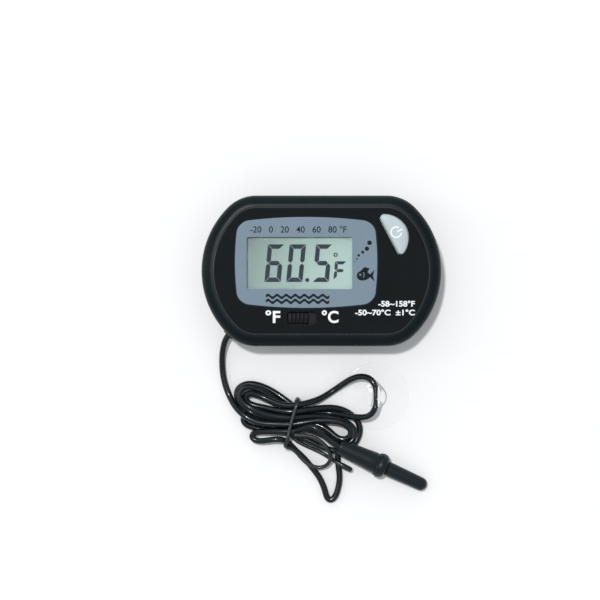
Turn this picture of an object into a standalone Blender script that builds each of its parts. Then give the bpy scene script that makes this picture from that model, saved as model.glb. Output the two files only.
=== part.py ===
"""Digital aquarium thermometer with a wired probe, lying on its back.

The housing is a front and a rear cover screwed together round a circuit board, a glass display,
a button cell, a power button and a unit switch. The thin probe lead leaves the rear cover, is
bundled with a wire tie, passes through the nub of a suction cup and ends in the probe.
Frame: +X right, +Y up the display, +Z out of it. The origin is under the housing's centre.
"""

import math

import bmesh
import bpy
from mathutils import Vector

MM = 0.001
GAP = 0.3 * MM  # between pieces that rest on or in each other
CUT_OVERRUN = 1.0 * MM  # how far a cutter runs past the face it opens

# Housing outline, seen from the front
HOUSING_LENGTH = 73.0 * MM
HOUSING_HEIGHT = 45.9 * MM
CORNER_RADIUS = 12.1 * MM
END_FLATNESS = 4.35 * MM  # how much the end arc's radius is over half the height
CORNER_STEPS = 6
END_STEPS = 10

# Housing in thickness
THICKNESS = 17.0 * MM
WALL = 1.6 * MM
FLOOR = 1.6 * MM
PANEL_THICKNESS = 1.6 * MM
SEAM_HEIGHT = 8.0 * MM
LIP_HEIGHT = 1.2 * MM
LIP_THICKNESS = 0.8 * MM
BOTTOM_ROUND = 2.4 * MM
RIM_WIDTH = 3.4 * MM
RIM_DROP = 3.2 * MM
PANEL_STEP = 0.7 * MM

# Label plate, window and display
LABEL_CENTRE = Vector((-4.67, 2.54)) * MM
LABEL_LENGTH = 43.2 * MM
LABEL_HEIGHT = 27.6 * MM
LABEL_CORNER = 3.4 * MM
LABEL_BULGE_TOP = 1.45 * MM  # how far the middle of a long edge stands out past its ends
LABEL_BULGE_SIDE = 0.95 * MM
LABEL_THICKNESS = 0.4 * MM
LABEL_RECESS = 0.2 * MM
WINDOW_CENTRE = Vector((-6.68, 2.34)) * MM
WINDOW_LENGTH = 32.0 * MM
WINDOW_HEIGHT = 15.8 * MM
WINDOW_CORNER = 0.6 * MM
LENS_LAP = 1.0 * MM
LENS_THICKNESS = 0.8 * MM
GLASS_THICKNESS = 0.8 * MM
GLASS_MARGIN = 2.0 * MM
GLASS_LEDGE = 2.6 * MM  # the front glass's contact ledge below the rear glass
REFLECTOR_THICKNESS = 0.3 * MM
ZEBRA_WIDTH = 1.8 * MM

# Circuit board and what stands on it
BOARD_THICKNESS = 1.0 * MM
BOARD_CORNER = 3.0 * MM
BOARD_EDGE_MARGIN = 5.4 * MM  # from the housing's long edges
CHIP = dict(centre=(-13.0, 2.5), radius=4.2, height=1.1)
CRYSTAL = dict(centre=(-19.0, -7.0), radius=1.0, length=6.0)
SMALL_PARTS = {
    "capacitor_1": dict(centre=(-8.0, -9.5), size=(2.0, 1.2, 1.0)),
    "capacitor_2": dict(centre=(-4.0, 12.0), size=(2.0, 1.2, 1.0)),
    "resistor_1": dict(centre=(-12.5, -10.5), size=(1.6, 0.8, 0.5)),
    "resistor_2": dict(centre=(19.5, 11.5), size=(1.6, 0.8, 0.5)),
}

# Power button, a segment of a circle placed from the top right corner's centre
BUTTON_RADIUS = 7.45 * MM
BUTTON_CHORD = 1.8 * MM  # from the circle's centre to the straight side
BUTTON_CORNER = 1.15 * MM
BUTTON_OFFSET = Vector((-0.9, -1.1)) * MM
BUTTON_ANGLE = math.radians(27.7)
BUTTON_PROUD = 0.55 * MM
BUTTON_GAP = 0.25 * MM
BUTTON_FLANGE = 0.45 * MM
BUTTON_FLANGE_THICKNESS = 0.8 * MM
BUTTON_STEM_RADIUS = 1.5 * MM
DOME_RADIUS = 3.0 * MM

# Unit switch
SWITCH_CENTRE = Vector((-6.06, -14.4)) * MM
SLOT_LENGTH = 8.8 * MM
SLOT_HEIGHT = 3.9 * MM
SWITCH_TRAVEL = 2.0 * MM
KNOB_GAP = 0.4 * MM
KNOB_RECESS = 0.4 * MM
KNOB_RIBS = 5
SKIRT_THICKNESS = 0.7 * MM
STEM_LENGTH = 2.0 * MM
STEM_HEIGHT = 1.2 * MM

# Battery, its well and its door
BATTERY_DIAMETER = 11.6 * MM
BATTERY_HEIGHT = 5.4 * MM
BATTERY_CENTRE = Vector((8.0, -1.0)) * MM
WELL_GAP = 1.1 * MM
WELL_WALL = 1.0 * MM
WELL_TOP = 7.0 * MM
DOOR_RIM = 2.2 * MM  # how far the door reaches past the well
DOOR_RECESS = 0.3 * MM
DOOR_THICKNESS = 1.6 * MM
DOOR_SKIN = 0.7 * MM  # the floor skin that the door's lugs turn behind
LUG_REACH = 0.9 * MM
LUG_THICKNESS = 0.6 * MM
LUG_WIDTH = 5.0 * MM
DOOR_TURN = math.radians(50)
COIN_SLOT = Vector((11.0, 1.6, 0.7)) * MM

# Screws
SCREW_INSET = 3.54 * MM
SCREW_RADIUS = 0.85 * MM
SCREW_HEAD_RADIUS = 1.5 * MM
SCREW_HEAD_HEIGHT = 1.2 * MM
SCREW_DEPTH = 1.2 * MM
SCREW_LENGTH = 10.0 * MM
BOSS_RADIUS = 1.55 * MM
BOARD_SCREW_INSET = 2.6 * MM
BOARD_SCREW_RADIUS = 0.6 * MM

# Probe lead
LEAD_RADIUS = 0.95 * MM
LEAD_CLEARANCE = 0.2 * MM
LEAD_EXIT_ANGLE = math.radians(225)
LEAD_EXIT_HEIGHT = 4.4 * MM
GROMMET_WALL = 0.7 * MM
GROMMET_PROUD = 0.5 * MM
CORE_RADIUS = 0.35 * MM
LEAD_POINT_STEP = 1.6 * (2 * LEAD_RADIUS)

LEAD_RUN = [
    (-29.1, -20.3, 4.3), (-29.75, -21.9, 3.8), (-30.25, -24.0, 2.8), (-30.5, -26.4, 1.75),
    (-30.45, -28.9, 1.15), (-30.2, -31.5, 0.95), (-29.75, -33.6, 0.95), (-29.0, -36.0, 0.95),
]
LEAD_CUP_RUN = [
    (-2.9, -40.2, 2.9), (-1.4, -39.8, 2.4), (0.4, -39.0, 1.7), (2.4, -37.8, 1.15), (4.3, -36.5, 1.1),
    (6.3, -35.1, 1.7), (8.3, -33.7, 2.8), (10.6, -32.6, 3.9), (12.9, -32.3, 5.0), (14.9, -32.9, 5.9),
    (16.2, -34.2, 6.25), (16.63, -36.0, 6.3), (16.63, -38.5, 6.3), (16.63, -41.2, 6.3),
    (16.35, -42.7, 6.2), (15.5, -43.9, 5.7), (14.4, -44.6, 5.0), (13.3, -44.95, 4.3),
]
LEAD_V_RUN = [
    (-7.9, -55.2, 1.25), (-6.4, -56.5, 1.0), (-4.5, -58.5, 0.95), (-2.6, -60.8, 0.95),
    (-1.0, -63.2, 0.95), (0.1, -65.6, 0.95), (0.65, -67.6, 0.95), (1.35, -69.4, 0.95),
    (2.7, -70.7, 0.95), (4.4, -70.75, 0.95), (5.75, -69.5, 0.95), (6.3, -67.7, 0.95),
    (6.5, -65.6, 0.95), (6.45, -63.3, 0.95), (6.0, -61.2, 0.95), (5.3, -59.4, 0.95),
    (4.5, -57.8, 0.95),
]
LEAD_PROBE_RUN = [
    (-2.6, -47.4, 6.2), (-1.4, -48.9, 6.2), (0.5, -50.4, 6.2), (2.6, -51.9, 6.25), (4.7, -53.3, 6.3),
]

# Bundle of the lead and its wire tie
HANK_BOTTOM = 1.5 * MM
HANK_TOP = 4.9 * MM
HANK_OUTLINE = [
    (-21.9, -34.8), (-18.0, -35.2), (-13.0, -37.6), (-8.5, -40.2), (-4.2, -41.6), (1.0, -41.6),
    (5.6, -42.3), (9.2, -43.9), (11.9, -46.2), (12.7, -49.1), (12.0, -52.0), (10.6, -52.9),
    (5.6, -50.5), (3.8, -53.4), (3.0, -56.4), (-3.0, -54.7), (-8.0, -53.2), (-13.5, -52.0),
    (-18.5, -52.3), (-21.8, -51.0), (-23.6, -48.6), (-25.3, -44.6), (-27.2, -41.6), (-27.5, -38.6),
    (-26.0, -36.0),
]
TIE_RADIUS = 0.6 * MM
TIE_ROUTE = [
    (-8.2, -50.3, 5.85), (-6.4, -50.35, 5.85), (-3.8, -50.65, 5.85), (-1.3, -51.5, 5.85),
    (0.6, -52.9, 5.85), (2.0, -54.6, 5.8), (2.8, -56.6, 5.2), (2.6, -58.4, 4.0), (1.3, -59.9, 3.0),
    (-0.6, -60.4, 2.7), (-2.6, -60.0, 2.75), (-4.6, -58.9, 2.8), (-6.4, -57.2, 2.8),
    (-7.9, -55.4, 3.1), (-9.4, -54.4, 3.4), (-10.7, -54.1, 3.9), (-11.0, -53.4, 5.0),
    (-10.5, -52.0, 5.75), (-9.9, -49.5, 5.85), (-9.2, -46.5, 5.85), (-8.3, -43.5, 5.85),
    (-7.5, -40.8, 5.7), (-7.2, -39.6, 4.6), (-7.2, -39.3, 3.0), (-7.4, -39.5, 1.4),
    (-7.8, -40.6, 0.65), (-8.5, -43.5, 0.6), (-9.4, -47.5, 0.6), (-9.3, -50.4, 0.6),
    (-7.6, -52.2, 0.6), (-4.5, -53.9, 0.6), (-1.0, -55.5, 0.6), (1.4, -56.8, 0.9),
    (3.2, -57.9, 2.0), (5.2, -59.0, 2.75), (7.3, -60.2, 2.7), (9.4, -61.3, 2.4),
]

# Suction cup
CUP_CENTRE = Vector((16.63, -38.51)) * MM
CUP_RADIUS = 10.35 * MM
CUP_WALL = 1.1 * MM
CUP_DOME_HEIGHT = 4.2 * MM
NUB_RADIUS = 3.4 * MM
NUB_TOP = 9.2 * MM
NUB_HOLE_HEIGHT = 6.3 * MM
NUB_HOLE_RADIUS = LEAD_RADIUS + 0.4 * MM

# Probe
PROBE_REAR = Vector((5.32, -53.64, 6.3)) * MM
PROBE_TIP = Vector((32.4, -66.3, 2.05)) * MM
BARREL_LENGTH = 12.6 * MM
BARREL_REAR_RADIUS = 2.3 * MM
BARREL_FRONT_RADIUS = 3.3 * MM
COLLAR_LENGTH = 3.5 * MM
COLLAR_RADIUS = 3.8 * MM
NOSE_REAR_RADIUS = 2.25 * MM
NOSE_TIP_RADIUS = 2.0 * MM
NOSE_WALL = 0.6 * MM
NOSE_SPIGOT_RADIUS = 1.8 * MM
NOSE_SPIGOT_LENGTH = 5.0 * MM
THERMISTOR_RADIUS = 0.9 * MM

# Heights that follow from the sizes above
PANEL_BOTTOM = THICKNESS - PANEL_THICKNESS
LIP_TOP = SEAM_HEIGHT + LIP_HEIGHT
LIP_INSET = WALL + GAP
LIP_INNER_INSET = LIP_INSET + LIP_THICKNESS
FRONT_BOTTOM = SEAM_HEIGHT + GAP
BOARD_BOTTOM = LIP_TOP + 0.4 * MM
BOARD_TOP = BOARD_BOTTOM + BOARD_THICKNESS
LABEL_TOP = THICKNESS - LABEL_RECESS
LABEL_BOTTOM = LABEL_TOP - LABEL_THICKNESS
LENS_TOP = LABEL_BOTTOM - GAP
FRONT_GLASS_TOP = min(LENS_TOP - LENS_THICKNESS, PANEL_BOTTOM) - GAP
REAR_GLASS_TOP = FRONT_GLASS_TOP - GLASS_THICKNESS - GAP
REFLECTOR_TOP = REAR_GLASS_TOP - GLASS_THICKNESS - GAP
WELL_RADIUS = BATTERY_DIAMETER / 2 + WELL_GAP
DOOR_RADIUS = WELL_RADIUS + DOOR_RIM
DOOR_TOP = DOOR_RECESS + DOOR_THICKNESS
BATTERY_BOTTOM = DOOR_TOP + GAP
BATTERY_TOP = BATTERY_BOTTOM + BATTERY_HEIGHT
WELL_FLOOR_TOP = DOOR_TOP + GAP + 0.8 * MM
BUTTON_FLANGE_TOP = PANEL_BOTTOM - GAP
BUTTON_FLANGE_BOTTOM = BUTTON_FLANGE_TOP - BUTTON_FLANGE_THICKNESS
KNOB_LENGTH = SLOT_LENGTH - SWITCH_TRAVEL - 2 * KNOB_GAP
KNOB_HEIGHT = SLOT_HEIGHT - 2 * KNOB_GAP
KNOB_CENTRE = SWITCH_CENTRE - Vector((SWITCH_TRAVEL / 2, 0))
SKIRT_TOP = PANEL_BOTTOM - GAP
SWITCH_BASE_TOP = SKIRT_TOP - SKIRT_THICKNESS - GAP
GROMMET_RADIUS = LEAD_RADIUS + LEAD_CLEARANCE + GROMMET_WALL

COLOURS = {
    "black_plastic": ((0.016, 0.022, 0.026), 0.42, 0.0),
    "label_film": ((0.21, 0.27, 0.35), 0.5, 0.0),
    "clear_plastic": ((0.85, 0.9, 0.9), 0.1, 0.0),
    "display_glass": ((0.36, 0.50, 0.45), 0.25, 0.0),
    "display_reflector": ((0.6, 0.65, 0.6), 0.4, 0.0),
    "rubber_strip": ((0.35, 0.1, 0.12), 0.8, 0.0),
    "circuit_board": ((0.02, 0.12, 0.05), 0.5, 0.0),
    "chip_epoxy": ((0.01, 0.01, 0.01), 0.4, 0.0),
    "component": ((0.35, 0.27, 0.18), 0.5, 0.0),
    "grey_button": ((0.43, 0.48, 0.5), 0.5, 0.0),
    "silicone": ((0.7, 0.7, 0.68), 0.6, 0.0),
    "black_knob": ((0.008, 0.008, 0.009), 0.5, 0.0),
    "steel": ((0.6, 0.6, 0.58), 0.25, 1.0),
    "brass": ((0.7, 0.5, 0.2), 0.3, 1.0),
    "lead_jacket": ((0.012, 0.016, 0.02), 0.25, 0.0),
    "core_red": ((0.5, 0.03, 0.02), 0.4, 0.0),
    "core_black": ((0.01, 0.01, 0.01), 0.4, 0.0),
    "tie_wire": ((0.02, 0.026, 0.032), 0.35, 0.0),
    "clear_pvc": ((0.85, 0.88, 0.9), 0.15, 0.0),
    "probe_plastic": ((0.03, 0.05, 0.06), 0.45, 0.0),
    "thermistor": ((0.03, 0.03, 0.03), 0.4, 0.0),
}


def clear_scene():
    for obj in list(bpy.data.objects):
        bpy.data.objects.remove(obj, do_unlink=True)


def new_collection(name):
    collection = bpy.data.collections.new(name)
    bpy.context.scene.collection.children.link(collection)
    return collection


def make_materials():
    made = {}
    for name, (colour, roughness, metallic) in COLOURS.items():
        material = bpy.data.materials.new(name)
        material.use_nodes = True
        shader = material.node_tree.nodes["Principled BSDF"]
        shader.inputs["Base Color"].default_value = (*colour, 1.0)
        shader.inputs["Roughness"].default_value = roughness
        shader.inputs["Metallic"].default_value = metallic
        made[name] = material
    return made


def part(name, data, material):
    obj = bpy.data.objects.new(name, data)
    data.materials.append(MATERIALS[material])
    PARTS.objects.link(obj)
    return obj


def cutter(obj):
    """Moves an object to the cutters: it shapes other pieces and is no piece itself."""
    obj.hide_render = True
    obj.display_type = "WIRE"
    for collection in list(obj.users_collection):
        collection.objects.unlink(obj)
    CUTTERS.objects.link(obj)
    return obj


def boolean(target, other, operation):
    modifier = target.modifiers.new(f"{operation.lower()}_{other.name}", "BOOLEAN")
    modifier.operation = operation
    modifier.object = cutter(other)
    modifier.solver = "EXACT"


def cut(target, *others):
    for other in others:
        boolean(target, other, "DIFFERENCE")


def fuse(target, *others):
    for other in others:
        boolean(target, other, "UNION")


def finish_mesh(bm, name, smooth_angle=40):
    bmesh.ops.recalc_face_normals(bm, faces=bm.faces)
    mesh = bpy.data.meshes.new(name)
    bm.to_mesh(mesh)
    bm.free()
    mesh.shade_smooth()
    mesh.set_sharp_from_angle(angle=math.radians(smooth_angle))
    return mesh


def stacked(name, rings, material="black_plastic"):
    """A closed solid lofted through rings of as many points each, capped at the first and the last."""
    bm = bmesh.new()
    loops = [[bm.verts.new(point) for point in ring] for ring in rings]
    for low, high in zip(loops, loops[1:]):
        for i in range(len(low)):
            j = (i + 1) % len(low)
            bm.faces.new((low[i], low[j], high[j], high[i]))
    bm.faces.new(loops[0])
    bm.faces.new(loops[-1])
    return part(name, finish_mesh(bm, name), material)


def plate(name, outline, low, high, material="black_plastic"):
    """A flat piece: an outline in X and Y, between two heights."""
    return stacked(name, [[(x, y, z) for x, y in outline] for z in (low, high)], material)


def block(name, centre, size, low, high, material="black_plastic"):
    """A box with its centre and size in X and Y, between two heights."""
    bm = bmesh.new()
    bmesh.ops.create_cube(bm, size=1.0)
    bmesh.ops.scale(bm, verts=bm.verts, vec=(size[0], size[1], high - low))
    bmesh.ops.translate(bm, verts=bm.verts, vec=(centre[0], centre[1], (low + high) / 2))
    return part(name, finish_mesh(bm, name), material)


def cylinder(name, centre, radius, low, high, material="black_plastic", steps=24):
    """An upright cylinder between two heights."""
    bm = bmesh.new()
    bmesh.ops.create_cone(
        bm, cap_ends=True, segments=steps, radius1=radius, radius2=radius, depth=high - low
    )
    bmesh.ops.translate(bm, verts=bm.verts, vec=(centre[0], centre[1], (low + high) / 2))
    return part(name, finish_mesh(bm, name), material)


def turned(name, profile, material, steps=24):
    """A solid turned about its own Z from a profile of (radius, height), top to bottom."""
    mesh = bpy.data.meshes.new(name)
    points = [(radius, 0.0, height) for radius, height in profile]
    mesh.from_pydata(points, [(i, i + 1) for i in range(len(points) - 1)], [])
    obj = part(name, mesh, material)
    screw = obj.modifiers.new("turn", "SCREW")
    screw.steps = steps
    screw.render_steps = steps
    screw.use_merge_vertices = True
    screw.merge_threshold = 1e-6
    screw.use_smooth_shade = True
    return obj


def smooth_route(points, step):
    """Points about a step apart on a smooth curve through the given ones."""
    given = [Vector(p) for p in points]
    ends = [given[0] * 2 - given[1], *given, given[-1] * 2 - given[-2]]
    fine = []
    for a, b, c, d in zip(ends, ends[1:], ends[2:], ends[3:]):
        for k in range(8):
            t = k / 8
            fine.append(
                0.5
                * (
                    2 * b
                    + (c - a) * t
                    + (2 * a - 5 * b + 4 * c - d) * t**2
                    + (3 * b - a - 3 * c + d) * t**3
                )
            )
    fine.append(given[-1])
    lengths = [0.0]
    for a, b in zip(fine, fine[1:]):
        lengths.append(lengths[-1] + (b - a).length)
    count = max(2, round(lengths[-1] / step) + 1)
    spaced = []
    index = 0
    for k in range(count):
        at = lengths[-1] * k / (count - 1)
        while index < len(fine) - 2 and lengths[index + 1] < at:
            index += 1
        share = (at - lengths[index]) / (lengths[index + 1] - lengths[index])
        spaced.append(fine[index].lerp(fine[index + 1], share))
    return spaced


def tube(name, points, radius, material, step):
    """A round tube with closed ends along a smooth route."""
    route = smooth_route(points, step)
    curve = bpy.data.curves.new(name, "CURVE")
    curve.dimensions = "3D"
    curve.bevel_depth = radius
    curve.bevel_resolution = 2
    curve.use_fill_caps = True
    spline = curve.splines.new("POLY")
    spline.points.add(len(route) - 1)
    for point, place in zip(spline.points, route):
        point.co = (*place, 1.0)
    return part(name, curve, material)


def arc(centre, radius, start, end, steps):
    """Points on an arc, both ends included; angles in radians."""
    angles = [start + (end - start) * k / steps for k in range(steps + 1)]
    return [(centre[0] + radius * math.cos(a), centre[1] + radius * math.sin(a)) for a in angles]


def corner_centre():
    """The centre of the top right corner's arc, which touches the long edge and the end arc."""
    y = HOUSING_HEIGHT / 2 - CORNER_RADIUS
    end_radius = HOUSING_HEIGHT / 2 + END_FLATNESS
    x = HOUSING_LENGTH / 2 - end_radius + math.sqrt((end_radius - CORNER_RADIUS) ** 2 - y**2)
    return Vector((x, y))


def housing_outline(inset):
    """The housing's outline moved in by a distance: flat long edges, round corners, bowed ends."""
    end_radius = HOUSING_HEIGHT / 2 + END_FLATNESS
    end_x = HOUSING_LENGTH / 2 - end_radius
    corner = corner_centre()
    turn = math.atan2(corner.y, corner.x - end_x)
    top = arc(corner, CORNER_RADIUS - inset, math.pi / 2, turn, CORNER_STEPS)
    end = arc((end_x, 0), end_radius - inset, turn, -turn, END_STEPS)
    right = top + end[1:-1] + [(x, -y) for x, y in reversed(top)]
    return right + [(-x, -y) for x, y in right]


def raised(outline, height):
    return [(x, y, height) for x, y in outline]


def rounded_rectangle(centre, length, height, radius, steps=4):
    x, y = length / 2 - radius, height / 2 - radius
    points = []
    for k, (sx, sy) in enumerate(((1, 1), (-1, 1), (-1, -1), (1, -1))):
        start = k * math.pi / 2
        corner = (centre[0] + sx * x, centre[1] + sy * y)
        points += arc(corner, radius, start, start + math.pi / 2, steps)
    return points


def label_outline(margin):
    """A rounded rectangle whose four sides bow out, made larger all round by a margin."""
    base = rounded_rectangle(
        (0, 0), LABEL_LENGTH + 2 * margin, LABEL_HEIGHT + 2 * margin, LABEL_CORNER + margin, 5
    )
    fine = []
    for (x1, y1), (x2, y2) in zip(base, base[1:] + base[:1]):
        pieces = 8 if math.dist((x1, y1), (x2, y2)) > LABEL_CORNER * 2 else 1
        fine += [(x1 + (x2 - x1) * k / pieces, y1 + (y2 - y1) * k / pieces) for k in range(pieces)]
    bowed = []
    for x, y in fine:
        u, v = x / (LABEL_LENGTH / 2 + margin), y / (LABEL_HEIGHT / 2 + margin)
        bowed.append(
            (
                LABEL_CENTRE.x + x - LABEL_BULGE_SIDE * v * v * u,
                LABEL_CENTRE.y + y - LABEL_BULGE_TOP * u * u * v,
            )
        )
    return bowed


def button_place(along, across):
    """A point in the button's own directions: along runs from its circle's centre to its round side."""
    centre = corner_centre() + BUTTON_OFFSET
    normal = Vector((math.cos(BUTTON_ANGLE), math.sin(BUTTON_ANGLE)))
    side = Vector((-normal.y, normal.x))
    return centre + normal * along + side * across


def button_outline(margin):
    """The button's segment of a circle with round corners, made larger all round by a margin."""
    radius, chord, corner = BUTTON_RADIUS + margin, BUTTON_CHORD - margin, BUTTON_CORNER + margin
    along = chord + corner
    across = math.sqrt((radius - corner) ** 2 - along**2)
    turn = math.atan2(across, along)
    points = arc((0, 0), radius, -turn, turn, 12)
    points += arc((along, across), corner, turn, math.pi, 4)[1:]
    points += arc((along, -across), corner, math.pi, 2 * math.pi - turn, 4)[:-1]
    return [tuple(button_place(a, b)) for a, b in points]


def button_middle():
    return button_place(BUTTON_CHORD + 0.42 * (BUTTON_RADIUS - BUTTON_CHORD), 0)


def screw_places():
    """The four case screws, level with the corner arcs' centres."""
    corner = corner_centre()
    x = corner.x + CORNER_RADIUS - SCREW_INSET
    return [(sx * x, sy * corner.y) for sx in (-1, 1) for sy in (-1, 1)]


def board_outline():
    x = abs(screw_places()[0][0]) - BOSS_RADIUS - GAP
    y = HOUSING_HEIGHT / 2 - BOARD_EDGE_MARGIN
    return rounded_rectangle((0, 0), 2 * x, 2 * y, BOARD_CORNER)


def board_screw_places():
    x = abs(screw_places()[0][0]) - BOSS_RADIUS - GAP - BOARD_SCREW_INSET
    y = HOUSING_HEIGHT / 2 - BOARD_EDGE_MARGIN - BOARD_SCREW_INSET
    return [(-x, y), (x, -y)]


def lead_exit():
    """The point where the lead leaves the housing's outline, and the way out."""
    outward = Vector((math.cos(LEAD_EXIT_ANGLE), math.sin(LEAD_EXIT_ANGLE), 0))
    corner = corner_centre()
    place = Vector((-corner.x, -corner.y, LEAD_EXIT_HEIGHT)) + outward * CORNER_RADIUS
    return place, outward


def point_along(obj, place, direction):
    """Stands an object that was made about its own Z at a place, with its Z along a direction."""
    obj.location = place
    obj.rotation_euler = Vector(direction).to_track_quat("Z", "Y").to_euler()
    return obj


def rear_cover():
    arcs = [math.radians(90 * k / 3) for k in range(4)]
    outside = [
        (BOTTOM_ROUND * (1 - math.sin(a)), BOTTOM_ROUND * (1 - math.cos(a))) for a in arcs
    ]
    profile = outside + [
        (0, SEAM_HEIGHT),
        (LIP_INSET, SEAM_HEIGHT),
        (LIP_INSET, LIP_TOP),
        (LIP_INNER_INSET, LIP_TOP),
        (LIP_INNER_INSET, SEAM_HEIGHT - 2.0 * MM),
        (WALL, SEAM_HEIGHT - 2.0 * MM - (LIP_INNER_INSET - WALL)),
        (WALL + BOTTOM_ROUND / 3, FLOOR + BOTTOM_ROUND / 3),
        (WALL + BOTTOM_ROUND, FLOOR),
    ]
    cover = stacked("rear_cover", [raised(housing_outline(i), z) for i, z in profile])
    for number, place in enumerate(screw_places(), 1):
        seat = SCREW_DEPTH + SCREW_HEAD_HEIGHT + GAP
        foot = cylinder(f"rear_boss_foot_{number}", place, BOSS_RADIUS + 1.1 * MM, 0.2 * MM, 4.4 * MM)
        boss = cylinder(f"rear_boss_{number}", place, BOSS_RADIUS, 4.0 * MM, LIP_TOP)
        fuse(cover, foot, boss)
        head = cylinder(f"screw_head_hole_{number}", place, SCREW_HEAD_RADIUS + GAP, -CUT_OVERRUN, seat)
        hole = cylinder(
            f"screw_hole_{number}", place, SCREW_RADIUS + 0.1 * MM, -CUT_OVERRUN, LIP_TOP + CUT_OVERRUN
        )
        cut(cover, head, hole)
    battery_well(cover)
    place, outward = lead_exit()
    hole = cylinder("grommet_hole", (0, 0), GROMMET_RADIUS + 0.1 * MM, -6 * MM, 3 * MM)
    cut(cover, point_along(hole, place, outward))
    return cover


def battery_well(cover):
    """The raised floor and ring wall that hold the battery, and the recess that the door turns in."""
    lug_radius = DOOR_RADIUS + LUG_REACH + GAP
    fuse(
        cover,
        cylinder("well_floor", BATTERY_CENTRE, lug_radius + WALL, 0.2 * MM, WELL_FLOOR_TOP, steps=48),
        cylinder("well_wall", BATTERY_CENTRE, WELL_RADIUS + WELL_WALL, 1.0 * MM, WELL_TOP, steps=48),
    )
    cut(
        cover,
        cylinder("well_bore", BATTERY_CENTRE, WELL_RADIUS, -CUT_OVERRUN, WELL_TOP + CUT_OVERRUN, steps=48),
        cylinder("door_mouth", BATTERY_CENTRE, DOOR_RADIUS + GAP, -CUT_OVERRUN, DOOR_TOP + GAP, steps=48),
        cylinder("lug_groove", BATTERY_CENTRE, lug_radius, DOOR_SKIN, DOOR_TOP + GAP, steps=48),
    )
    notches = block(
        "lug_notches",
        (0, 0),
        (2 * lug_radius - 0.1 * MM, LUG_WIDTH + 2 * GAP),
        -CUT_OVERRUN,
        DOOR_SKIN + 0.1 * MM,
    )
    notches.location = (*BATTERY_CENTRE, 0)
    notches.rotation_euler = (0, 0, -DOOR_TURN)
    cut(cover, notches)


def battery_door():
    """A round door with two lugs that hook behind the floor's skin, turned with a coin."""
    rim = 0.3 * MM
    profile = [(0, DOOR_TOP), (DOOR_RADIUS - rim, DOOR_TOP), (DOOR_RADIUS, DOOR_TOP - rim)]
    profile += [(DOOR_RADIUS, DOOR_RECESS + rim), (DOOR_RADIUS - rim, DOOR_RECESS), (0, DOOR_RECESS)]
    door = turned("battery_door", profile, "black_plastic", 48)
    lug_low = DOOR_SKIN + GAP
    lug_high = lug_low + LUG_THICKNESS
    lugs = cylinder("door_lug_disc", (0, 0), DOOR_RADIUS + LUG_REACH, lug_low, lug_high, steps=48)
    band = block(
        "door_lug_band", (0, 0), (3 * DOOR_RADIUS, LUG_WIDTH), lug_low - CUT_OVERRUN, DOOR_TOP + CUT_OVERRUN
    )
    boolean(lugs, band, "INTERSECT")
    fuse(door, lugs)
    slot = block(
        "coin_slot", (0, 0), COIN_SLOT, DOOR_RECESS - CUT_OVERRUN, DOOR_RECESS + COIN_SLOT.z
    )
    cut(door, slot)
    hinge = bpy.data.objects.new("battery_door_axis", None)
    hinge.location = (*BATTERY_CENTRE, 0)
    PARTS.objects.link(hinge)
    for obj in (door, lugs, band, slot):
        obj.parent = hinge
    return door


def front_cover():
    ridge = THICKNESS - PANEL_STEP
    edge = ridge - RIM_DROP
    rim = []
    for k in range(5):
        turn = math.radians(90 * k / 4)
        rim.append((RIM_WIDTH * (1 - math.cos(turn)), edge + RIM_DROP * math.sin(turn)))
    profile = [
        (RIM_WIDTH + 0.7 * MM, THICKNESS),
        (RIM_WIDTH + 0.25 * MM, THICKNESS - 0.2 * MM),
        *reversed(rim),
        (0, FRONT_BOTTOM),
        (WALL, FRONT_BOTTOM),
        (WALL, edge - 0.6 * MM),
        (WALL + 0.9 * MM, PANEL_BOTTOM - 0.8 * MM),
        (WALL + RIM_WIDTH, PANEL_BOTTOM),
    ]
    cover = stacked("front_cover", [raised(housing_outline(i), z) for i, z in profile])
    for number, place in enumerate(screw_places(), 1):
        boss = cylinder(
            f"front_boss_{number}", place, BOSS_RADIUS, LIP_TOP + GAP, PANEL_BOTTOM + 0.3 * MM
        )
        fuse(cover, boss)
        tip = SCREW_DEPTH + SCREW_HEAD_HEIGHT + SCREW_LENGTH + GAP
        cut(cover, cylinder(f"screw_bore_{number}", place, SCREW_RADIUS + 0.1 * MM, LIP_TOP, tip))
    for number, place in enumerate(board_screw_places(), 1):
        post = cylinder(
            f"board_post_{number}", place, 1.5 * MM, BOARD_TOP + GAP, PANEL_BOTTOM + 0.3 * MM, steps=16
        )
        fuse(cover, post)
        bore = cylinder(
            f"board_bore_{number}", place, BOARD_SCREW_RADIUS + 0.1 * MM, BOARD_TOP, BOARD_TOP + 3.4 * MM,
            steps=16,
        )
        cut(cover, bore)
    pocket = plate(
        "label_pocket", label_outline(0.2 * MM), LABEL_BOTTOM - GAP, THICKNESS + CUT_OVERRUN
    )
    opening = plate(
        "lens_opening",
        rounded_rectangle(
            WINDOW_CENTRE,
            WINDOW_LENGTH + 2 * (LENS_LAP + GAP),
            WINDOW_HEIGHT + 2 * (LENS_LAP + GAP),
            WINDOW_CORNER,
        ),
        PANEL_BOTTOM - CUT_OVERRUN,
        THICKNESS + CUT_OVERRUN,
    )
    button_hole = plate(
        "button_hole", button_outline(BUTTON_GAP), PANEL_BOTTOM - CUT_OVERRUN, THICKNESS + CUT_OVERRUN
    )
    switch_slot = plate(
        "switch_slot",
        rounded_rectangle(SWITCH_CENTRE, SLOT_LENGTH, SLOT_HEIGHT, 1.2 * MM),
        PANEL_BOTTOM - CUT_OVERRUN,
        THICKNESS + CUT_OVERRUN,
    )
    cut(cover, pocket, opening, button_hole, switch_slot)
    return cover


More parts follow.
